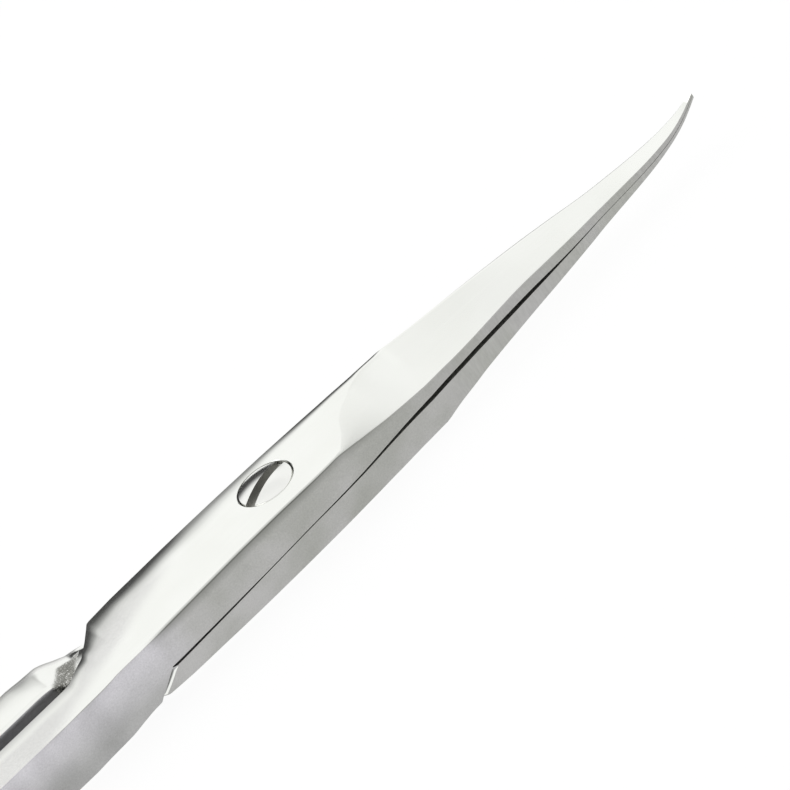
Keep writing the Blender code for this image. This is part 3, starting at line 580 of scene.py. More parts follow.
def neck_rows():
    """Give rows of eight control points from the end of the shank to the finger ring."""
    start = Vector((-SHANK_END, inner_wall(0) - SHANK_WIDTH / 2 - HANDLE_SPREAD))
    point, out = ring_direction(NECK_ANGLE + RING_TILT)
    end = point + out * (RING_WIDTH / 2)
    heading = Vector((HANDLE_START - SHANK_END, -HANDLE_SPREAD)).normalized()
    bend = start + heading * ((end - start).length * NECK_BEND_share)
    rows = []
    for t in (0.0,) + NECK_STATION_shares:
        centre = start.lerp(bend, t).lerp(bend.lerp(end, t), t)
        run = (bend - start).lerp(end - bend, t).normalized() if t else Vector((-1, 0))
        side = Vector((run.y, -run.x)) * (HANDLE_WIDTH / 2)
        height = thickness_at(centre.x)
        corners = ((-1, -1), (0, -1), (1, -1), (1, 0), (1, 1), (0, 1), (-1, 1), (-1, 0))
        rows.append([(*(centre + side * across), height * up) for across, up in corners])
    return rows


# Fine cross-sections of 64 points, four for each point of the plain solids

def arc(start, corner, end, steps):
    """Give points of a curve that leaves start towards corner and ends at end, without its end."""
    points = []
    for i in range(steps):
        t = i / steps
        points.append(mix_points(mix_points(start, corner, t), mix_points(corner, end, t), t))
    return points


def line(start, end, shares=EVEN_shares):
    """Give points at the given shares of the way from start to end."""
    return [mix_points(start, end, share) for share in shares]


def trimmed(first, second, size):
    """Give the smaller of two widths, with a chamfer of a size where they cross."""
    return min(first, second, (first + second - size) / 2)


def toward(start, end, length, most=LEG_share):
    """Give the point at a length from start on the way to end, at most a share of the way."""
    way = math.dist(start, end)
    return mix_points(start, end, min(length / max(way, MERGE_DISTANCE), most))


def crowned(corner, wall, top, reach, slope):
    """Give the points of an edge that falls off slowly across the top to a crisp corner."""
    end = toward(corner, top, reach, CROWN_LIMIT_share)
    bend = mix_points(corner, end, 0.5)
    return toward(corner, wall, math.dist(corner, bend) * slope), bend, end


def soften(points, index, size):
    """Round a corner of a cross-section off with the points beside it."""
    corner = points[index]
    before, after = points[index - 2], points[(index + 2) % len(points)]
    ends = [toward(corner, point, size, SOFT_LEG_share) for point in (before, after)]
    points[index - 1], points[index + 1] = ends
    points[index] = mix_points(mix_points(ends[0], ends[1], 0.5), corner, 0.5)


def fine_lower(x, relief, edges):
    """Give 20 points from the outer wall round the bottom, and the top of the inner wall."""
    width = half_width(x)
    seam = seam_height(x)
    if not has_lower_storey(x):
        opened = limit((x - SHOULDER_PLACE) / (NOTCH_FRONT * INNER_FACE_LENGTH_share), 0.0, 1.0)
        spread = 2 * width * mix(INNER_FACE_START_share, INNER_FACE_END_share, opened)
        row = [(-width + spread * (i / 4 + 1) / 6, seam) for i in range(21)]
        return row[:20], row[20]
    blend = shank_blend(x)
    edge = -width * free_edge_share(along_lap(x))
    edge = mix(edge, inner_wall(-HALF_THICKNESS) - SHANK_WIDTH, blend)
    side = mix(-width, inner_wall(0) - SHANK_WIDTH, blend)
    place = (-x - NOTCH_FRONT) / relief[1]
    slant = SHOULDER_SLANT * (1 - ease(2 * behind_notch(x)))
    drop = (storey_wall(x, 0) - slant / 2 - side) / max(edge - side + slant / 2, SHOULDER_START)
    drop = limit(drop, 0.0, 1.0)
    depth = HALF_THICKNESS - relief[0] * outer_relief_share(place)
    inner_depth = HALF_THICKNESS - relief[0] * inner_relief_share(place)
    inner = max(storey_wall(x, -inner_depth * drop) - slant * (1 + drop) / 2, side + SHOULDER_START)
    edge = min(mix(side, edge, drop * depth / HALF_THICKNESS), inner - SHOULDER_START / 2)
    corner, low = (edge, -depth * drop), (inner, -inner_depth * drop)
    start, bend, end = crowned(
        corner, (side, seam), low, HALF_THICKNESS * mix(LOWER_CROWN_share, SHANK_CROWN_share, blend),
        mix(LOWER_SLOPE_share, SHANK_SLOPE_share, blend))
    split = LEDGE_SPLIT_share * HALF_THICKNESS * (1 - ledge_width(x))
    wall_top = (storey_wall(x, seam - split), seam - split)
    size = mix(edges.edge_rounding, SHANK_ROUNDING, ease(behind_notch(x)))
    before, after = toward(low, end, size), toward(low, wall_top, size)
    row = arc(start, bend, end, 8) + line(end, before, BOTTOM_shares) + arc(before, low, after, 6)
    return row + [after], wall_top


def fine_upper(x, edges):
    """Give 40 points from the inner face round the free edge and the top to the outer wall."""
    width = half_width(x)
    seam = seam_height(x)
    blend = shank_blend(x)
    back = HALF_THICKNESS * back_share(limit(along_blade(x), 0.0, 1.0))
    wall = notch_wall(x) if x < -NOTCH_FRONT / 2 else 2 * width
    base_height = seam
    if has_lower_storey(x):
        base_height += LEDGE_SPLIT_share * HALF_THICKNESS * (1 - ledge_width(x))
    free_width = width * free_edge_share(along_lap(x))

    def flank_point(share):
        """Give the point a share of the way up the free flank, which the notch cuts away."""
        z = mix(base_height, back, share)
        y = trimmed(mix(width, free_width, share), wall, edges.notch_break * share * NOTCH_TOP_share)
        return max(y, inner_wall(z)), z

    free = flank_point(1.0)
    lean = HALF_THICKNESS * outer_lean_share(along_lap(x))
    bevel = mix(HALF_THICKNESS, BEVEL_HEIGHT * bevel_share(0.0), root_bevel_share(along_edge(x)))
    if x > BLADE_ROOT:
        bevel = min(BEVEL_HEIGHT * bevel_share(along_blade(x)), BEVEL_LIMIT_share * back)
    lean += bevel * BEVEL_TILT_share * along_root(x)
    side_top = mix(lean - width, inner_wall(HALF_THICKNESS) - SHANK_WIDTH, blend)
    corner = (side_top, bevel)
    side = (mix(-width, inner_wall(0) - SHANK_WIDTH, blend), seam)

    inward = crease_share(along_root(x))
    crease_height = back if x <= BLADE_ROOT else mix(bevel, back, inward)
    crease = (mix(side_top, free[0], inward), crease_height)
    behind = behind_notch(x)
    reach, slope = crown_reach(along_lap(x)), crown_slope(along_lap(x))
    if behind > 0:
        reach, slope = notch_reach(behind), notch_slope(behind)
    _, free_bend, free_end = crowned(free, free, crease, reach * back, slope)
    top_share = 1 - math.dist(free, free_bend) * slope / (back - base_height)
    flank = [flank_point(0.0)]
    for offset, low, high in BREAK_LIMITS:
        cut = (width - wall + offset) / max(width - free_width, MERGE_DISTANCE)
        flank.append(flank_point(top_share * limit(cut, low, high)))
    free_start = flank_point(top_share)
    chamfer = HALF_THICKNESS * mix(edges.edge_share, SHANK_CORNER_share, blend)
    chamfer = min(chamfer, (back - seam) * CORNER_share)
    corner_start, corner_end = toward(corner, crease, chamfer), toward(corner, side, chamfer)
    row = flank + arc(free_start, free_bend, free_end, 8)
    row += line(free_end, crease, CREASE_BEFORE_shares) + line(crease, corner_start, CREASE_AFTER_shares)
    return row + arc(corner_start, corner, corner_end, 4) + line(corner_end, side), side


def fine_section(x, relief, edges):
    """Give the 64 points of a half's cross-section at x, from the outer bottom corner round."""
    lower, wall_top = fine_lower(x, relief, edges)
    upper, side = fine_upper(x, edges)
    points = lower + line(wall_top, upper[0], [i / 8 for i in range(8)]) + upper + line(side, lower[0])
    if behind_notch(x) < NOTCH_CORNER_share:
        soften(points, INNER_CORNER_POINT, edges.edge_rounding)
    return points


def fine_places():
    """Give the places of the fine cross-sections, from the tip back to where the handle begins."""
    places = section_places()
    fine = []
    for before, after in zip(places, places[1:]):
        near_notch = -NOTCH_REAR < after and before < SHOULDER_PLACE + SHOULDER_CLEARANCE
        step = NOTCH_STEP if near_notch else PLAIN_STEP
        count = 1 if before > SHOULDER_PLACE > after else math.ceil((before - after) / step)
        fine += [mix(before, after, i / count) for i in range(count)]
    return fine + [places[-1]]


# Making meshes

def put(name, mesh):
    """Put a mesh in the scene at the origin."""
    thing = bpy.data.objects.new(name, mesh)
    bpy.context.scene.collection.objects.link(thing)
    return thing


def mesh_of(name, shape):
    """Turn a shape under construction into a mesh."""
    mesh = bpy.data.meshes.new(name)
    shape.to_mesh(mesh)
    shape.free()
    return mesh


def made_plain(thing):
    """Give the mesh that an object's modifiers make, and remove the object."""
    mesh = bpy.data.meshes.new_from_object(
        thing.evaluated_get(bpy.context.evaluated_depsgraph_get()))
    bpy.data.objects.remove(thing)
    return mesh


def bridge(shape, row, following, finishes=None):
    """Join two closed rows of equally many corners with faces, each with its finish."""
    for i, vertex in enumerate(row):
        after = (i + 1) % len(row)
        face = shape.faces.new((vertex, row[after], following[after], following[i]))
        if finishes:
            face.material_index = finishes[i]


def circle(shape, radius, height):
    """Add a circle of points round the upright axis."""
    turns = [2 * math.pi * i / CIRCLE_SEGMENTS for i in range(CIRCLE_SEGMENTS)]
    return [shape.verts.new((radius * math.cos(turn), radius * math.sin(turn), height))
            for turn in turns]


# The two halves

def handle_mesh():
    """Make the neck and finger ring as a smoothed cage that is open where the shank joins it."""
    cage = bmesh.new()
    keys = [(segment, corner) for segment in range(RING_SEGMENTS) for corner in range(SECTION_CORNERS)]
    grid = {key: cage.verts.new(ring_point(*key)) for key in keys if key != (0, 0)}
    for segment, corner in keys:
        after, above = (segment + 1) % RING_SEGMENTS, (corner + 1) % SECTION_CORNERS
        ends = ((segment, corner), (after, corner), (after, above), (segment, above))
        if (0, 0) not in ends:
            cage.faces.new([grid[key] for key in ends])
    last, under = RING_SEGMENTS - 1, SECTION_CORNERS - 1
    mouth = ((last, under), (0, under), (1, under), (1, 0), (1, 1), (0, 1), (last, 1), (last, 0))
    rows = [[cage.verts.new(point) for point in row] for row in neck_rows()]
    rows.append([grid[key] for key in mouth])
    for row, following in zip(rows, rows[1:]):
        bridge(cage, row, following)
    holder = put("handle_cage", mesh_of("handle_cage", cage))
    smoothing = holder.modifiers.new("smoothing", "SUBSURF")
    smoothing.levels = smoothing.render_levels = SUBDIVISIONS
    return made_plain(holder)


def open_rim(shape):
    """Give the corners of the handle's open end, in order from its outer bottom corner."""
    rim = {vertex for edge in shape.edges if edge.is_boundary for vertex in edge.verts}
    middle = sum((vertex.co.y for vertex in rim), 0.0) / len(rim)
    start = min(rim, key=lambda vertex: (
        (vertex.co.y - middle) / HANDLE_WIDTH + vertex.co.z / HANDLE_THICKNESS))
    first = math.atan2(start.co.z, start.co.y - middle)

    def turn(vertex):
        angle = math.atan2(vertex.co.z, vertex.co.y - middle) - first
        return angle % (2 * math.pi) if vertex is not start else 0.0

    return sorted(rim, key=turn)


def face_finishes(x, edges):
    """Give the finish of each of the 64 faces of a half's skin at x, by its place in FINISHES."""
    storey = has_lower_storey(x)
    shank = x < -NOTCH_REAR
    into_notch = half_width(x) - notch_wall(x) if x < -NOTCH_FRONT / 2 else -half_width(x)
    bottom = "polished" if storey else "ground"
    wall = "raw" if storey else "ground"
    ledge = "raw" if shank else "ground"
    free = ["satin"] * 4
    if behind_notch(x) > FLANK_END_share:
        free = ["raw"] * 4
    elif into_notch > 0:
        free = ["raw", "raw", "polished", "satin"]
    names = [bottom] * 16 + [wall] * 4 + [ledge] * 8 + free + ["polished"] * 20 + ["satin"] * 12
    return [FINISHES.index(name) for name in names]


def kept_values(i, x, y, relief, dulled):
    """Give the five values kept on point i of a cross-section at x, which lies at y."""
    lower = relief[0] > UPPER_RELIEF
    # edge is painted dark shade: along the top edge near the pivot, along the lower storey's outer edge
    # and in the notch's wall
    edge_shade_left = 1 - ease_between(-x, EDGE_FADE_START, EDGE_FADE_END)
    edge = EDGE_SHADE_POINTS.get(i, 0.0) * edge_shade_left * (1 - ease(x / BLADE_ROOT))
    if lower and i == 0:
        edge += UNDERSIDE_EDGE_SHADE_share * ease((-x - UNDERSIDE_EDGE_START) / DARK_FADE)
    if i in NOTCH_POINTS and -x < NOTCH_REAR:
        edge += ease((-x - NOTCH_SHADE_START) / DARK_FADE)
    hollow = 0.0
    if lower and i in HOLLOW_POINTS:
        place = -x - HOLLOW_LEAN_share * y
        hollow = ease((place - HOLLOW_START) / HOLLOW_FADE + 0.5)
        hollow *= ease((HOLLOW_END - place) / HOLLOW_FADE + 0.5)
    # On the flanks, dull brings in the painted light and shade that changes with height
    flank = i in FLANK_POINTS
    across = FLANK_LEAN if flank else min(y, DULL_REACH)
    dull = ease_between(-x + DULL_LEAN_share * across, DULL_START, DULL_END)
    if not flank:
        dull *= dulled * CROWN_POINTS.get(i, 1.0)
    ground_across = ease_between(x, ACROSS_START, ACROSS_FULL)
    return handle_blend(x), dull, ground_across, hollow, edge * (1 - handle_blend(x))


def half_mesh(name, side, relief, dulled, edges):
    """Make one half: sections from the tip to the shank, then the smoothed neck and ring.

    Five values are kept on its points: how far the handle's finish has come in, where the polish
    is dull and the flanks take painted light and shade, where the flanks are ground across, where the
    shank's hollow is rough, and where dark shade is painted along the top edge, the lower storey's
    outer edge and the notch's wall.
    """
    shape = bmesh.new()
    shape.from_mesh(handle_mesh())
    for face in shape.faces:
        face.material_index = FINISHES.index("polished")
    layers = [shape.verts.layers.float.new(label) for label in KEPT_VALUES]
    for vertex in shape.verts:
        vertex[layers[0]] = 1.0
    following = open_rim(shape)
    rim = [(vertex.co.y, vertex.co.z) for vertex in following]
    before = -SHANK_END
    for x in reversed(fine_places()):
        blend = handle_blend(x)
        points = [mix_points(a, b, blend) for a, b in zip(fine_section(x, relief, edges), rim)]
        row = [shape.verts.new((x, y, z)) for y, z in points]
        for i, vertex in enumerate(row):
            for layer, value in zip(layers, kept_values(i, x, vertex.co.y, relief, dulled)):
                vertex[layer] = value
        bridge(shape, row, following, face_finishes((x + before) / 2, edges))
        following = row
        before = x
    shape.faces.new(following)
    low, high = (value - HALF_THICKNESS for value in (SOLID_BOX[0][2], SOLID_BOX[1][2]))
    rear = SOLID_BOX[0][0] - PIVOT_PLACE
    for vertex in shape.verts:
        x, y, z = vertex.co
        vertex.co = (max(x, rear), side * y, limit(side * z + level_at(x), low, high))
    bmesh.ops.recalc_face_normals(shape, faces=shape.faces)
    return mesh_of(name, shape)


def turned_cutter(name, profile):
    """Turn a closed cutter from its profile of (radius, height) points, from bottom to top."""
    shape = bmesh.new()
    rows = [circle(shape, radius, height) for radius, height in profile]
    for row, following in zip(rows, rows[1:]):
        bridge(shape, row, following)
    shape.faces.new(reversed(rows[0]))
    shape.faces.new(rows[-1])
    bmesh.ops.recalc_face_normals(shape, faces=shape.faces)
    return put(name, mesh_of(name, shape))


def cut(thing, cutter):
    """Take a cutter's volume out of a piece, and remove the cutter."""
    boolean = thing.modifiers.new("cut", "BOOLEAN")
    boolean.operation = "DIFFERENCE"
    boolean.solver = "EXACT"
    boolean.object = cutter
    name = thing.name
    mesh = made_plain(thing)
    bpy.data.objects.remove(cutter)
    return put(name, mesh)


def hole_cutter(radius, countersink):
    """Make the cutter of a through hole whose two rims are broken."""
    over = HALF_THICKNESS + CUT_OVERRUN
    flare = radius + countersink + CUT_OVERRUN
    return turned_cutter("hole_cutter", [
        (flare, -over), (radius, -HALF_THICKNESS + countersink),
        (radius, HALF_THICKNESS - countersink), (flare, over)])


def finish_piece(piece, node, body):
    """Move a piece made round the pivot to its place in the mesh, and hand it to the frame."""
    piece.data.transform(Matrix.Translation((PIVOT_PLACE, 0, HALF_THICKNESS)))
    piece.data.shade_smooth()
    piece.data.set_sharp_from_angle(angle=SHARP_ANGLE)
    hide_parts(node)
    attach(piece, body)


# The pivot screw

def screw_profile():
    """Give the screw's half outline of (radius, height) points, from the head's middle down."""
    top = HALF_THICKNESS
    seat = top - HEAD_RIM
    end = END_SETBACK - HALF_THICKNESS
    dome = HEAD_RADIUS - RIM_BREAK
    profile = [(dome * i / DOME_STEPS, top + HEAD_DOME * (1 - (i / DOME_STEPS) ** 2))
               for i in range(DOME_STEPS + 1)]
    profile += [(HEAD_RADIUS, top - RIM_DEPTH), (HEAD_RADIUS, seat + HEAD_BREAK),
                (HEAD_RADIUS - HEAD_BREAK, seat), (SCREW_RADIUS, seat)]
    rows = math.ceil((seat - end - SCREW_CHAMFER) / SHANK_ROW)
    profile += [(SCREW_RADIUS, mix(seat, end + SCREW_CHAMFER, i / rows)) for i in range(1, rows + 1)]
    return profile + [(SCREW_RADIUS - SCREW_CHAMFER, end), (0.0, end)]


def threaded_turning_tree():
    """Build the nodes that turn a profile round and cut a helical groove into its shank."""
    tree = bpy.data.node_groups.new("threaded_turning", "GeometryNodeTree")
    tree.is_modifier = True
    add_sockets(tree, "INPUT", (
        ("Profile", "Geometry", None), ("Steps", "Int", CIRCLE_SEGMENTS), ("Pitch", "Float", THREAD_PITCH),
        ("Groove depth", "Float", GROOVE_DEPTH), ("Thread top", "Float", 0.0),
        ("Thread end", "Float", -HALF_THICKNESS), ("Run-out", "Float", THREAD_PITCH / 2),
        ("Finish", "Material", None)))
    add_sockets(tree, "OUTPUT", [("Screw", "Geometry", None)])
    given = tree.nodes.new("NodeGroupInput").outputs

    # A flat grid, one metre each way, whose rows take the places of the profile's points
    count = node(tree, "GeometryNodeAttributeDomainSize", i0=given["Profile"]).outputs["Point Count"]
    across = calculate(tree, "ADD", given["Steps"], 1.0)
    grid = node(tree, "GeometryNodeMeshGrid", i0=1.0, i1=1.0, i2=across, i3=count).outputs["Mesh"]
    place = node(tree, "GeometryNodeInputPosition").outputs[0]
    split = node(tree, "ShaderNodeSeparateXYZ", i0=place).outputs
    turn = calculate(tree, "ADD", split[0], 0.5)
    along = times(tree, calculate(tree, "ADD", split[1], 0.5), calculate(tree, "SUBTRACT", count, 1.0))
    sample = node(tree, "GeometryNodeSampleIndex", {"data_type": "FLOAT_VECTOR"},
                  Geometry=given["Profile"], Value=place, Index=calculate(tree, "ROUND", along))
    outline = node(tree, "ShaderNodeSeparateXYZ", i0=sample.outputs[0]).outputs
    height = outline[2]

    # The groove winds round the shank and runs out at both of its ends
    phase = calculate(tree, "SUBTRACT", calculate(tree, "DIVIDE", height, given["Pitch"]), turn)
    wave = calculate(tree, "PINGPONG", times(tree, phase, 2.0), 1.0)
    top, end, run_out = given["Thread top"], given["Thread end"], given["Run-out"]
    starts = range_share(tree, height, top, calculate(tree, "SUBTRACT", top, run_out))
    ends = range_share(tree, height, end, calculate(tree, "ADD", end, run_out))
    depth = times(tree, wave, given["Groove depth"], times(tree, starts, ends))
    radius = calculate(tree, "SUBTRACT", outline[0], depth)
    angle = times(tree, turn, 2 * math.pi)
    moved = node(tree, "ShaderNodeCombineXYZ", i0=times(tree, radius, calculate(tree, "COSINE", angle)),
                 i1=times(tree, radius, calculate(tree, "SINE", angle)), i2=height)
    shape = node(tree, "GeometryNodeSetPosition", Geometry=grid, Position=moved.outputs[0])
    shape = node(tree, "GeometryNodeMergeByDistance", Geometry=shape.outputs[0], Distance=MERGE_DISTANCE)
    shape = node(tree, "GeometryNodeRealizeInstances", Geometry=shape.outputs[0])
    shape = node(tree, "GeometryNodeSetMaterial", Geometry=shape.outputs[0], Material=given["Finish"])
    node(tree, "NodeGroupOutput", Screw=shape.outputs[0])
    return tree


def set_inputs(modifier, values):
    """Set a Geometry Nodes modifier's inputs, found by their names, before it is evaluated."""
    for item in modifier.node_group.interface.items_tree:
        if item.in_out == "INPUT" and item.name in values:
            modifier[item.identifier] = values[item.name]


def slot_cutter():
    """Make the cutter for the screwdriver slot."""
    shape = bmesh.new()
    bmesh.ops.create_cube(shape, size=1.0)
    bmesh.ops.scale(shape, verts=shape.verts, vec=(
        2 * (HEAD_RADIUS + CUT_OVERRUN), SLOT_WIDTH, SLOT_DEPTH + CUT_OVERRUN))
    bmesh.ops.translate(shape, verts=shape.verts, vec=(
        0, 0, HALF_THICKNESS + HEAD_DOME + (CUT_OVERRUN - SLOT_DEPTH) / 2))
    bmesh.ops.rotate(shape, verts=shape.verts, matrix=Matrix.Rotation(SLOT_ANGLE, 3, "Z"))
    return put("slot_cutter", mesh_of("slot_cutter", shape))


def make_screw(settings, head_finish, slot_finish):
    """Turn the screw, cut its thread and its slot, and give the slot its own finish."""
    profile = screw_profile()
    mesh = bpy.data.meshes.new("screw_profile")
    mesh.from_pydata([(x, 0, z) for x, z in profile], [(i, i + 1) for i in range(len(profile) - 1)], [])
    holder = put("screw_profile", mesh)
    turning = holder.modifiers.new("turning", "NODES")
    turning.node_group = threaded_turning_tree()
    set_inputs(turning, {
        "Steps": settings.turning_steps, "Pitch": settings.thread_pitch,
        "Groove depth": settings.groove_depth, "Thread top": -SEAM_GAP,
        "Thread end": END_SETBACK - HALF_THICKNESS, "Run-out": settings.thread_pitch / 2,
        "Finish": head_finish})
    mesh = made_plain(holder)
    shape = bmesh.new()
    shape.from_mesh(mesh)
    bmesh.ops.recalc_face_normals(shape, faces=shape.faces)
    shape.to_mesh(mesh)
    shape.free()
    screw = cut(put("pivot_screw_finished", mesh), slot_cutter())
    screw.data.materials.append(slot_finish)
    milled = len(screw.data.materials) - 1
    across = Vector((-math.sin(SLOT_ANGLE), math.cos(SLOT_ANGLE), 0))
    bottom = HALF_THICKNESS + HEAD_DOME - SLOT_DEPTH
    for face in screw.data.polygons:
        in_slot = (abs(face.center.dot(across)) < SLOT_WIDTH / 2 + MERGE_DISTANCE
                   and face.center.z > bottom - MERGE_DISTANCE)
        if in_slot and max(face.normal.z, abs(face.normal.dot(across))) > FACING_share:
            face.material_index = milled
    return screw


# Steel finishes

def node(tree, kind, settings=None, **links):
    """Add a node, with its settings, and link or set its inputs by their names or numbers."""
    made = tree.nodes.new(kind)
    for key, value in (settings or {}).items():
        setattr(made, key, value)
    for key, value in links.items():
        numbered = key[0] == "i" and key[1:].isdigit()
        socket = made.inputs[int(key[1:]) if numbered else key.replace("_", " ")]
        if isinstance(value, bpy.types.NodeSocket):
            tree.links.new(value, socket)
        elif socket.type == "RGBA":
            socket.default_value = (*value[:3], 1.0)
        else:
            socket.default_value = value
    return made


def calculate(tree, operation, *values):
    """Add a Math node and give its result."""
    numbered = {f"i{i}": value for i, value in enumerate(values)}
    return node(tree, "ShaderNodeMath", {"operation": operation}, **numbered).outputs[0]


def times(tree, first, *others):
    """Multiply values."""
    for other in others:
        first = calculate(tree, "MULTIPLY", first, other)
    return first


def range_share(tree, value, low, high, kind="SMOOTHSTEP"):
    """Give how far a value lies between two others, from nought to one."""
    return node(tree, "ShaderNodeMapRange", {"interpolation_type": kind},
                i0=value, i1=low, i2=high).outputs[0]


def noise(tree, place, scale, detail, roughness=0.5):
    """Add a noise texture and give its value."""
    return node(tree, "ShaderNodeTexNoise", Vector=place, Scale=scale, Detail=detail,
                Roughness=roughness).outputs["Fac"]


def scaled(tree, vector, scale):
    """Multiply a vector or colour by a number."""
    return node(tree, "ShaderNodeVectorMath", {"operation": "SCALE"}, i0=vector, Scale=scale).outputs[0]


def fine_grain(tree, given):
    """Fine even grain, as left by forging, blasting or a fine abrasive belt."""
    grains = noise(tree, given["Vector"], given["Grains per metre"], *GRAIN_NOISE)
    uneven = calculate(tree, "SUBTRACT", grains, 0.5)
    height = calculate(tree, "MULTIPLY_ADD", uneven, given["Contrast"], 0.5)
    return {"Tone": height, "Height": height}


def tone_drift(tree, given):
    """Slow clouding of the tone across a surface."""
    patches = noise(tree, given["Vector"], given["Patches per metre"], SLOW_DETAIL)
    return {"Tone": range_share(tree, patches, *DRIFT_RANGE)}


def grinding_marks(tree, given):
    """Grinding or polishing marks: long fine scratches side by side."""
    spread = node(tree, "ShaderNodeVectorMath", {"operation": "MULTIPLY"}, i0=given["Vector"],
                  i1=given["Marks per metre"]).outputs[0]
    marks = noise(tree, spread, 1.0, *MARK_NOISE)
    return {"Tone": marks, "Height": marks}


def come_in(tree, given):
    """A value kept on the points of a half, drawn in with a soft edge."""
    uneven = calculate(tree, "MULTIPLY_ADD", given["Break up"], *BREAK_UP_shares)
    return {"Share": range_share(tree, times(tree, uneven, given["Value"]), *COME_IN_RANGE)}


# Inputs of the shared groups, each a (name, kind, default)
SHARED_GROUPS = {
    fine_grain: (("Vector", "Vector", None), ("Grains per metre", "Float", 20000.0),
                 ("Contrast", "Float", 1.0)),
    tone_drift: (("Vector", "Vector", None), ("Patches per metre", "Float", 200.0)),
    grinding_marks: (("Vector", "Vector", None), ("Marks per metre", "Vector", (100.0, 9000.0, 9000.0))),
    come_in: (("Value", "Float", 0.0), ("Break up", "Float", 0.5))}


def add_sockets(tree, in_out, sockets):
    """Give a node group its inputs or outputs, each a (name, kind, default)."""
    for label, kind, default in sockets:
        socket = tree.interface.new_socket(label, in_out=in_out, socket_type="NodeSocket" + kind)
        if default is not None:
            socket.default_value = default


def shared_group(effect):
    """Give the shader node group of an effect, which is built once."""
    tree = bpy.data.node_groups.get(effect.__name__)
    if not tree:
        tree = bpy.data.node_groups.new(effect.__name__, "ShaderNodeTree")
        add_sockets(tree, "INPUT", SHARED_GROUPS[effect])
        results = effect(tree, tree.nodes.new("NodeGroupInput").outputs)
        add_sockets(tree, "OUTPUT", [(label, "Float", None) for label in results])
        node(tree, "NodeGroupOutput", **results)
    return tree


def place_group(tree, effect, **links):
    """Place the shared group of an effect in a material with its own values."""
    return node(tree, "ShaderNodeGroup", {"node_tree": shared_group(effect)}, **links).outputs


def kept_value(tree, name):
    """Read a value that is kept on the points of a half."""
    return node(tree, "ShaderNodeAttribute", {"attribute_name": name}).outputs["Fac"]


def mix_values(tree, share, first, second):
    """Mix two numbers."""
    return node(tree, "ShaderNodeMix", {"data_type": "FLOAT"}, i0=share, i2=first, i3=second).outputs[0]


def mix_colours(tree, share, first, second):
    """Mix two colours."""
    return node(tree, "ShaderNodeMix", {"data_type": "RGBA"}, i0=share, i6=first, i7=second).outputs[2]


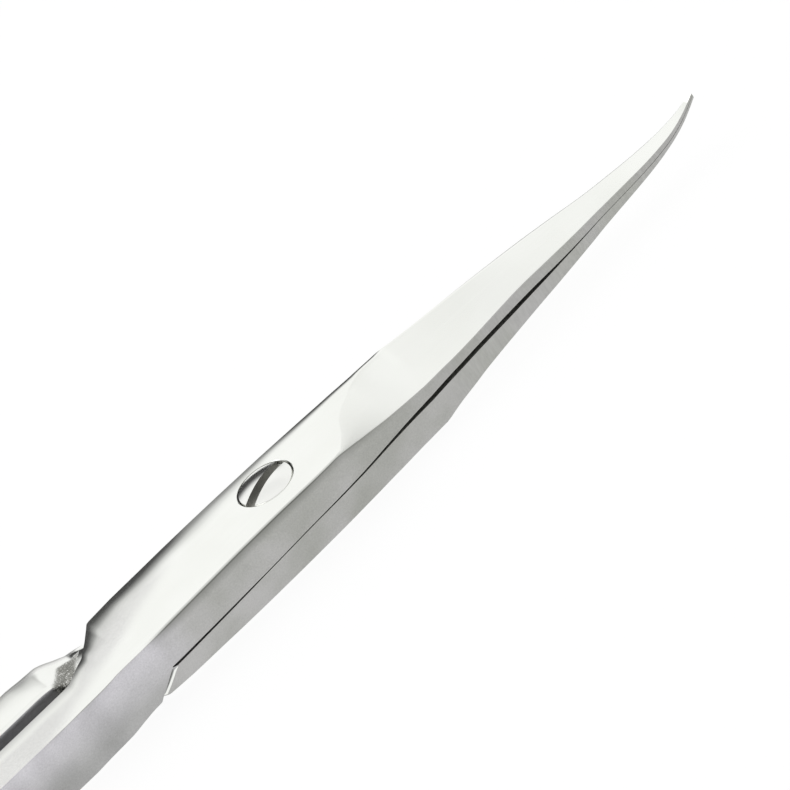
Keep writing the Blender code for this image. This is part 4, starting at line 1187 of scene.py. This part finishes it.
def steel(name, colours, roughness, grain, marks, mask=None, dull=None, ring=None):
    """Make a steel finish from its colours, roughness, grain and marks.

    colours are the main one and that of its patches. grain is (grains per metre, share of the tone,
    height in metres). marks is (marks per metre along each axis, share of the tone, height in
    metres, how far the tone lifts and lowers the colour). A mask is the kept value that the marks
    come in with. dull is the (lower colour, upper colour, roughness) of the shank, mixed by height,
    so that on the flanks the lower colour is painted shade and the upper one painted light; ring is
    the (colour, roughness) of the finger rings, into which this finish runs out.
    """
    material = bpy.data.materials.new(name)
    material.use_nodes = True
    tree = material.node_tree
    place = node(tree, "ShaderNodeTexCoord").outputs["Object"]

    def grained(grains_per_metre, contrast):
        """Place the fine grain with its own values."""
        return place_group(tree, fine_grain, Vector=place, Grains_per_metre=grains_per_metre,
                           Contrast=contrast)

    def kept_share(label, break_up):
        """Give how far the finish of a kept value has come in."""
        return place_group(tree, come_in, Value=kept_value(tree, label), Break_up=break_up)["Share"]

    drift = place_group(tree, tone_drift, Vector=place, Patches_per_metre=PATCHES_PER_METRE)["Tone"]
    fine = grained(grain[0], GRAIN_CONTRAST)
    lines = place_group(tree, grinding_marks, Vector=place, Marks_per_metre=marks[0])
    strength = kept_share(mask, drift) if mask else 1.0
    tone = mix_values(tree, grain[1], drift, fine["Tone"])
    tone = mix_values(tree, times(tree, strength, marks[1]), tone, lines["Tone"])
    rough = mix_values(tree, tone, roughness * ROUGHNESS_shares[1], roughness * ROUGHNESS_shares[0])
    base = mix_colours(tree, drift, *colours)
    height = times(tree, lines["Height"], strength, marks[2])
    height = calculate(tree, "MULTIPLY_ADD", fine["Height"], grain[2], height)
    if ring:
        rub = grained(*RUB_GRAIN)["Tone"]
        # Painted light and shade on the shank's flanks: lighter near the top, darker low down
        level = node(tree, "ShaderNodeSeparateXYZ", Vector=place).outputs[2]
        level = range_share(tree, level, HALF_THICKNESS + FLANK_SHADE_LOW, HALF_THICKNESS + FLANK_LIGHT_HIGH, "LINEAR")
        flank = mix_colours(tree, level, dull[0], dull[1])
        patchy = mix_colours(tree, drift, ring[0], shaded(ring[0], RING_PATCH_share))
        for label, colour, rough_to in (("dull", flank, dull[2]), ("handle", patchy, ring[1])):
            share = kept_share(label, drift)
            rubbed = scaled(tree, colour, mix_values(tree, rub, *RUB_TONE_shares))
            base = mix_colours(tree, share, base, rubbed)
            rough = mix_values(tree, share, rough, mix_values(
                tree, drift, rough_to * RUB_ROUGHNESS_shares[1], rough_to * RUB_ROUGHNESS_shares[0]))

        pitted = grained(*PIT_GRAIN)
        hollow = kept_share("hollow", pitted["Tone"])
        specks = range_share(tree, pitted["Tone"], *SPECK_RANGE, "LINEAR")
        pits = mix_colours(tree, pitted["Tone"], HOLLOW_DARK_colour, HOLLOW_LIGHT_colour)
        base = mix_colours(tree, hollow, base, mix_colours(tree, specks, pits, HOLLOW_SPECK_colour))
        rough = mix_values(tree, hollow, rough, HOLLOW_ROUGHNESS)
        depth = times(tree, pitted["Height"], hollow)
        height = calculate(tree, "MULTIPLY_ADD", depth, HOLLOW_HEIGHT, height)

        # Painted dark shade along the top edge, along the lower storey's outer edge and in the notch's
        # wall
        edge = times(tree, kept_value(tree, "edge"), mix_values(tree, fine["Tone"], *EDGE_SHADE_TONE_shares))
        base = mix_colours(tree, edge, base, EDGE_SHADE_colour)
        rough = mix_values(tree, edge, rough, EDGE_ROUGHNESS)
    shader = tree.nodes["Principled BSDF"].inputs
    shader["Metallic"].default_value = 1.0
    lifted = scaled(tree, base, mix_values(tree, tone, 1 - marks[3], 1 + marks[3]))
    bump = node(tree, "ShaderNodeBump", Strength=1.0, Distance=1.0, Height=height).outputs[0]
    for label, value in (("Base Color", lifted), ("Roughness", rough), ("Normal", bump)):
        tree.links.new(value, shader[label])
    material.diffuse_color = (*colours[0], 1.0)
    return material


def shaded(colour, factor):
    """Give a darker or lighter colour of the same hue."""
    return tuple(limit(value * factor, 0.0, 1.0) for value in colour)


# Floor, light and camera

def make_floor(settings):
    """Make the pale floor, whose far rim curves up all round."""
    shape = bmesh.new()
    rows = [circle(shape, FLOOR_RADIUS * share, -FLOOR_DROP) for share in FLOOR_ROW_shares]
    for i in range(FLOOR_STEPS + 1):
        angle = math.pi / 2 * i / FLOOR_STEPS
        rows.append(circle(shape, FLOOR_RADIUS + FLOOR_RIM * math.sin(angle),
                           FLOOR_RIM * (1 - math.cos(angle)) - FLOOR_DROP))
    shape.faces.new(rows[0])
    for following, row in zip(rows, rows[1:]):
        bridge(shape, row, following)
    floor = put("floor", mesh_of("floor", shape))
    floor.data.shade_smooth()

    material = bpy.data.materials.new("floor_paper")
    material.use_nodes = True
    tree = material.node_tree
    tree.nodes.remove(tree.nodes["Principled BSDF"])
    tooth = noise(tree, node(tree, "ShaderNodeTexCoord").outputs["Object"], FLOOR_TOOTH, SLOW_DETAIL)
    tones = [shaded(settings.floor_colour, share) for share in FLOOR_TONE_shares]
    paper = mix_colours(tree, tooth, *tones)
    lit = node(tree, "ShaderNodeBsdfDiffuse", Color=paper)
    white = node(tree, "ShaderNodeEmission", Color=WHITE_colour, Strength=1.0)
    rays = node(tree, "ShaderNodeLightPath").outputs
    seen = calculate(tree, "MAXIMUM", rays["Is Camera Ray"], rays["Is Glossy Ray"])
    seen = calculate(tree, "MAXIMUM", seen, rays["Is Transmission Ray"])
    mixed = node(tree, "ShaderNodeMixShader", i0=times(tree, seen, settings.floor_whiteness),
                 i1=lit.outputs[0], i2=white.outputs[0])
    tree.links.new(mixed.outputs[0], tree.nodes["Material Output"].inputs["Surface"])
    floor.data.materials.append(material)


def light_ramp(tree, height, steps):
    """Give the light that comes from a height above the horizon, from (degrees, light) steps."""
    ramp = node(tree, "ShaderNodeValToRGB", Fac=height)
    ramp.color_ramp.interpolation = "EASE"
    marks = ramp.color_ramp.elements
    while len(marks) < len(steps):
        marks.new(0.5)
    for mark, (degrees, level) in zip(marks, steps):
        mark.position = math.sin(math.radians(degrees))
        mark.color = (level, level, level, 1.0)
    return ramp.outputs[0]


def light_sky(settings):
    """Surround the scene with soft light, like a tent that is open to one side."""
    world = bpy.data.worlds.new("light_tent")
    world.use_nodes = True
    bpy.context.scene.world = world
    tree = world.node_tree
    way = node(tree, "ShaderNodeTexCoord").outputs["Generated"]
    way = node(tree, "ShaderNodeSeparateXYZ", Vector=way).outputs
    front, back = (light_ramp(tree, way[2], steps) for steps in (FRONT_LIGHT_steps, BACK_LIGHT_steps))
    light = mix_colours(tree, range_share(tree, way[1], *BACK_LIGHT_span), front, back)
    light = mix_colours(tree, range_share(tree, way[0], *SIDE_LIGHT_span), light, SIDE_LIGHT_colour)
    tent = tree.nodes["Background"]
    tree.links.new(light, tent.inputs["Color"])
    tent.inputs["Strength"].default_value = settings.tent_level
    white = node(tree, "ShaderNodeBackground", Color=WHITE_colour, Strength=1.0)
    seen = node(tree, "ShaderNodeLightPath").outputs["Is Camera Ray"]
    mixed = node(tree, "ShaderNodeMixShader", i0=seen, i1=tent.outputs[0], i2=white.outputs[0])
    tree.links.new(mixed.outputs[0], tree.nodes["World Output"].inputs["Surface"])


def add_lamp(settings):
    """Hang one soft lamp over the scissors, for shape and a soft shadow."""
    lamp = bpy.data.lights.new("soft_lamp", "AREA")
    lamp.shape = "DISK"
    lamp.size = LAMP_SIZE
    lamp.energy = settings.lamp_power
    holder = bpy.data.objects.new("soft_lamp", lamp)
    holder.location = LAMP_PLACE
    holder.rotation_euler = (Vector((0, 0, 0)) - Vector(LAMP_PLACE)).to_track_quat("-Z", "Y").to_euler()
    bpy.context.scene.collection.objects.link(holder)


def add_camera(settings):
    """Set a long camera where the photographer stood."""
    outward = Vector(VIEW_DIRECTION).normalized()
    right = Vector(VIEW_RIGHT)
    right = (right - outward * right.dot(outward)).normalized()
    up = outward.cross(right)
    aim = Vector((PIVOT_PLACE, 0, 2 * HALF_THICKNESS)) + right * VIEW_SHIFT[0] + up * VIEW_SHIFT[1]
    camera = bpy.data.cameras.new("camera")
    camera.type = "PERSP"
    camera.sensor_width = CAMERA_SENSOR * 1000
    camera.lens = CAMERA_SENSOR * 1000 * settings.camera_distance / VIEW_WIDTH
    camera.clip_start, camera.clip_end = CAMERA_SPAN
    holder = bpy.data.objects.new("camera", camera)
    turn = Matrix((right, up, outward)).transposed().to_4x4()
    holder.matrix_world = Matrix.Translation(aim + outward * settings.camera_distance) @ turn
    bpy.context.scene.collection.objects.link(holder)
    bpy.context.scene.camera = holder


# Settings, operators and panel

def length_property(name, description, default):
    """Give a property that holds a length."""
    return FloatProperty(name=name, description=description, default=default, min=0.0, precision=6,
                         unit="LENGTH", subtype="DISTANCE")


def colour_property(name, description, default):
    """Give a property that holds a colour."""
    return FloatVectorProperty(name=name, description=description, default=default, size=3, min=0.0,
                               max=1.0, subtype="COLOR")


def share_property(name, description, default):
    """Give a property that holds a share from nought to one."""
    return FloatProperty(name=name, description=description, default=default, min=0.0, max=1.0,
                         subtype="FACTOR")


class ScissorsEdges(bpy.types.PropertyGroup):
    """How far the forged edges are broken and crowned."""
    notch_break: length_property("Notch break", "Width of the broken edge of the notch", 0.00028)
    edge_rounding: length_property("Edge rounding", "Rounding of the small inner edges", 0.00005)
    edge_share: share_property("Top edge", "Rounding of the lap's top edge, for its thickness", 0.03)
    hole_break: length_property("Hole break", "Width of the broken rim round the holes", 0.00003)


class ScissorsFinish(bpy.types.PropertyGroup):
    """Colours and polish of the steel."""
    polished_colour: colour_property("Polished colour", "Colour of polished tops", (0.92, 0.93, 0.89))
    polished_patches: colour_property("Polished patches", "Its slow clouding", (0.905, 0.915, 0.88))
    polished_roughness: share_property("Polished roughness", "Roughness of the polished tops", 0.11)
    satin_colour: colour_property("Satin colour", "Colour of the ground flanks", (0.425, 0.43, 0.403))
    satin_patches: colour_property("Satin patches", "Its slow clouding", (0.44, 0.437, 0.43))
    satin_roughness: share_property("Satin roughness", "Roughness of the ground flanks", 0.42)
    ground_colour: colour_property("Ground colour", "Colour of the inner faces", (0.62, 0.63, 0.59))
    ground_patches: colour_property("Ground patches", "Its slow clouding", (0.58, 0.58, 0.56))
    ground_roughness: share_property("Ground roughness", "Roughness of the inner faces", 0.33)
    raw_colour: colour_property("Raw colour", "Colour of the forged inner walls", (0.43, 0.43, 0.44))
    raw_patches: colour_property("Raw patches", "Its slow clouding", (0.50, 0.50, 0.50))
    raw_roughness: share_property("Raw roughness", "Roughness of the forged inner walls", 0.5)
    dull_colour: colour_property("Dull colour", "Colour of the shanks' rubbed tops", (0.79, 0.79, 0.77))
    dull_roughness: share_property("Dull roughness", "Roughness of the rubbed tops", 0.24)
    # Painted shade low down and painted light near the top of the shank's flanks
    flank_shade_colour: colour_property("Flank low", "Colour of the flanks low down", (0.40, 0.40, 0.395))
    flank_light_colour: colour_property("Flank high", "The same near their top", (0.585, 0.575, 0.60))
    ring_colour: colour_property("Ring colour", "Colour of the finger rings", (0.76, 0.765, 0.745))
    ring_roughness: share_property("Ring roughness", "Roughness of the finger rings", 0.28)


class ScissorsScrew(bpy.types.PropertyGroup):
    """Thread and finish of the pivot screw."""
    turning_steps: IntProperty(name="Turning steps", description="Faces round the screw",
                               default=CIRCLE_SEGMENTS, min=24)
    thread_pitch: length_property("Thread pitch", "Height of one turn of the thread", THREAD_PITCH)
    groove_depth: length_property("Groove depth", "Depth of the thread's groove", GROOVE_DEPTH)
    head_colour: colour_property("Head colour", "Colour of the polished head", (0.91, 0.915, 0.885))
    head_roughness: share_property("Head roughness", "Roughness of the polished head", 0.12)
    slot_colour: colour_property("Slot colour", "Colour inside the slot", (0.33, 0.33, 0.31))
    slot_roughness: share_property("Slot roughness", "Roughness inside the slot", 0.45)


class ScissorsStage(bpy.types.PropertyGroup):
    """Floor, light and camera."""
    floor_colour: colour_property("Floor colour", "Colour of the paper floor", (0.97, 0.97, 0.97))
    floor_whiteness: share_property("Floor whiteness", "How far it is lifted to plain white", 0.92)
    tent_level: FloatProperty(name="Tent level", description="Level of the soft light all round",
                              default=1.05, min=0.0)
    lamp_power: FloatProperty(name="Lamp power", description="Power of the soft lamp", default=0.8,
                              min=0.0, unit="POWER")
    camera_distance: length_property("Camera distance", "From the scissors to the camera", 1.5)


class MakeHalves(bpy.types.Operator):
    """Make both scissor halves with their steel finishes."""
    bl_idname = "scissors.make_halves"
    bl_label = "Make the two halves"

    def execute(self, context):
        look = context.scene.scissors_finish
        edges = context.scene.scissors_edges
        ring = (tuple(look.ring_colour), look.ring_roughness)
        top = (tuple(look.dull_colour), tuple(look.dull_colour), look.dull_roughness)
        # The flanks' painted shade low down and painted light near their top
        flank = (tuple(look.flank_shade_colour), tuple(look.flank_light_colour), look.satin_roughness)
        finishes = {
            "polished": steel(
                "polished_steel", (look.polished_colour, look.polished_patches), look.polished_roughness,
                POLISHED_GRAIN, POLISHED_MARKS, dull=top, ring=ring),
            "satin": steel(
                "satin_steel", (look.satin_colour, look.satin_patches), look.satin_roughness,
                SATIN_GRAIN, SATIN_MARKS, mask="across", dull=flank, ring=ring),
            "ground": steel(
                "ground_steel", (look.ground_colour, look.ground_patches), look.ground_roughness,
                GROUND_GRAIN, GROUND_MARKS, dull=flank, ring=ring),
            "raw": steel(
                "raw_steel", (look.raw_colour, look.raw_patches), look.raw_roughness,
                RAW_GRAIN, RAW_MARKS, dull=flank, ring=ring)}
        for name, piece, side, relief, dulled, body in (
                ("screw_side_half", "screw_side_half_finished", 1,
                 (UPPER_RELIEF, UPPER_RELIEF_LENGTH), 1.0, "upper_half"),
                ("thread_side_half", "thread_side_half_finished", -1,
                 (LOWER_RELIEF, LOWER_RELIEF_LENGTH), 0.0, "lower_half")):
            half = put(piece, half_mesh(piece, side, relief, dulled, edges))
            for finish in FINISHES:
                half.data.materials.append(finishes[finish])
            if side == 1:
                seat = HALF_THICKNESS - HEAD_RIM - HEAD_SEAT_CLEARANCE
                recess = HEAD_RADIUS + PIVOT_CLEARANCE
                flare = recess + edges.hole_break + CUT_OVERRUN
                half = cut(half, hole_cutter(SCREW_RADIUS + PIVOT_CLEARANCE, edges.hole_break))
                half = cut(half, turned_cutter("recess_cutter", [
                    (recess, seat), (recess, HALF_THICKNESS - edges.hole_break),
                    (flare, HALF_THICKNESS + CUT_OVERRUN)]))
            else:
                half = cut(half, hole_cutter(SCREW_RADIUS + THREAD_CLEARANCE, edges.hole_break))
            finish_piece(half, name, body)
        return {"FINISHED"}


class MakeScrew(bpy.types.Operator):
    """Make the slotted and threaded pivot screw."""
    bl_idname = "scissors.make_screw"
    bl_label = "Make the pivot screw"

    def execute(self, context):
        look = context.scene.scissors_screw
        head, slot = tuple(look.head_colour), tuple(look.slot_colour)
        head = steel(
            "screw_steel_polished", (head, shaded(head, HEAD_PATCH_share)), look.head_roughness,
            HEAD_GRAIN, HEAD_MARKS)
        slot = steel(
            "screw_steel_milled", (slot, shaded(slot, SLOT_PATCH_share)), look.slot_roughness,
            SLOT_GRAIN, SLOT_MARKS)
        finish_piece(make_screw(look, head, slot), "pivot_screw", "screw")
        return {"FINISHED"}


class MakeStage(bpy.types.Operator):
    """Make the floor, the light and the camera."""
    bl_idname = "scissors.make_stage"
    bl_label = "Make the stage"

    def execute(self, context):
        settings = context.scene.scissors_stage
        make_floor(settings)
        light_sky(settings)
        add_lamp(settings)
        add_camera(settings)
        context.scene.view_settings.view_transform = "Standard"
        return {"FINISHED"}


class ScissorsPanel(bpy.types.Panel):
    """Settings and steps of the nail scissors, in the 3D view's sidebar."""
    bl_idname = "VIEW3D_PT_scissors"
    bl_label = "Nail Scissors"
    bl_space_type = "VIEW_3D"
    bl_region_type = "UI"
    bl_category = "Scissors"

    def draw(self, context):
        for step, groups in STEPS:
            box = self.layout.box()
            for group in groups:
                settings = getattr(context.scene, group)
                for name in settings.__annotations__:
                    box.prop(settings, name)
            box.operator(step.bl_idname)


STEPS = ((MakeHalves, ("scissors_edges", "scissors_finish")), (MakeScrew, ("scissors_screw",)),
         (MakeStage, ("scissors_stage",)))
SETTINGS = {"scissors_edges": ScissorsEdges, "scissors_finish": ScissorsFinish,
            "scissors_screw": ScissorsScrew, "scissors_stage": ScissorsStage}


def register():
    """Register the settings, the operators and the panel."""
    for name, group in SETTINGS.items():
        bpy.utils.register_class(group)
        setattr(bpy.types.Scene, name, PointerProperty(type=group))
    for step, _ in STEPS:
        bpy.utils.register_class(step)
    bpy.utils.register_class(ScissorsPanel)


def unregister():
    """Take everything out again that was registered."""
    bpy.utils.unregister_class(ScissorsPanel)
    for step, _ in reversed(STEPS):
        bpy.utils.unregister_class(step)
    for name, group in SETTINGS.items():
        delattr(bpy.types.Scene, name)
        bpy.utils.unregister_class(group)


def main():
    """Make the scissors and their stage."""
    register()
    bpy.ops.scissors.make_halves()
    bpy.ops.scissors.make_screw()
    bpy.ops.scissors.make_stage()


if __name__ == "__main__":
    main()
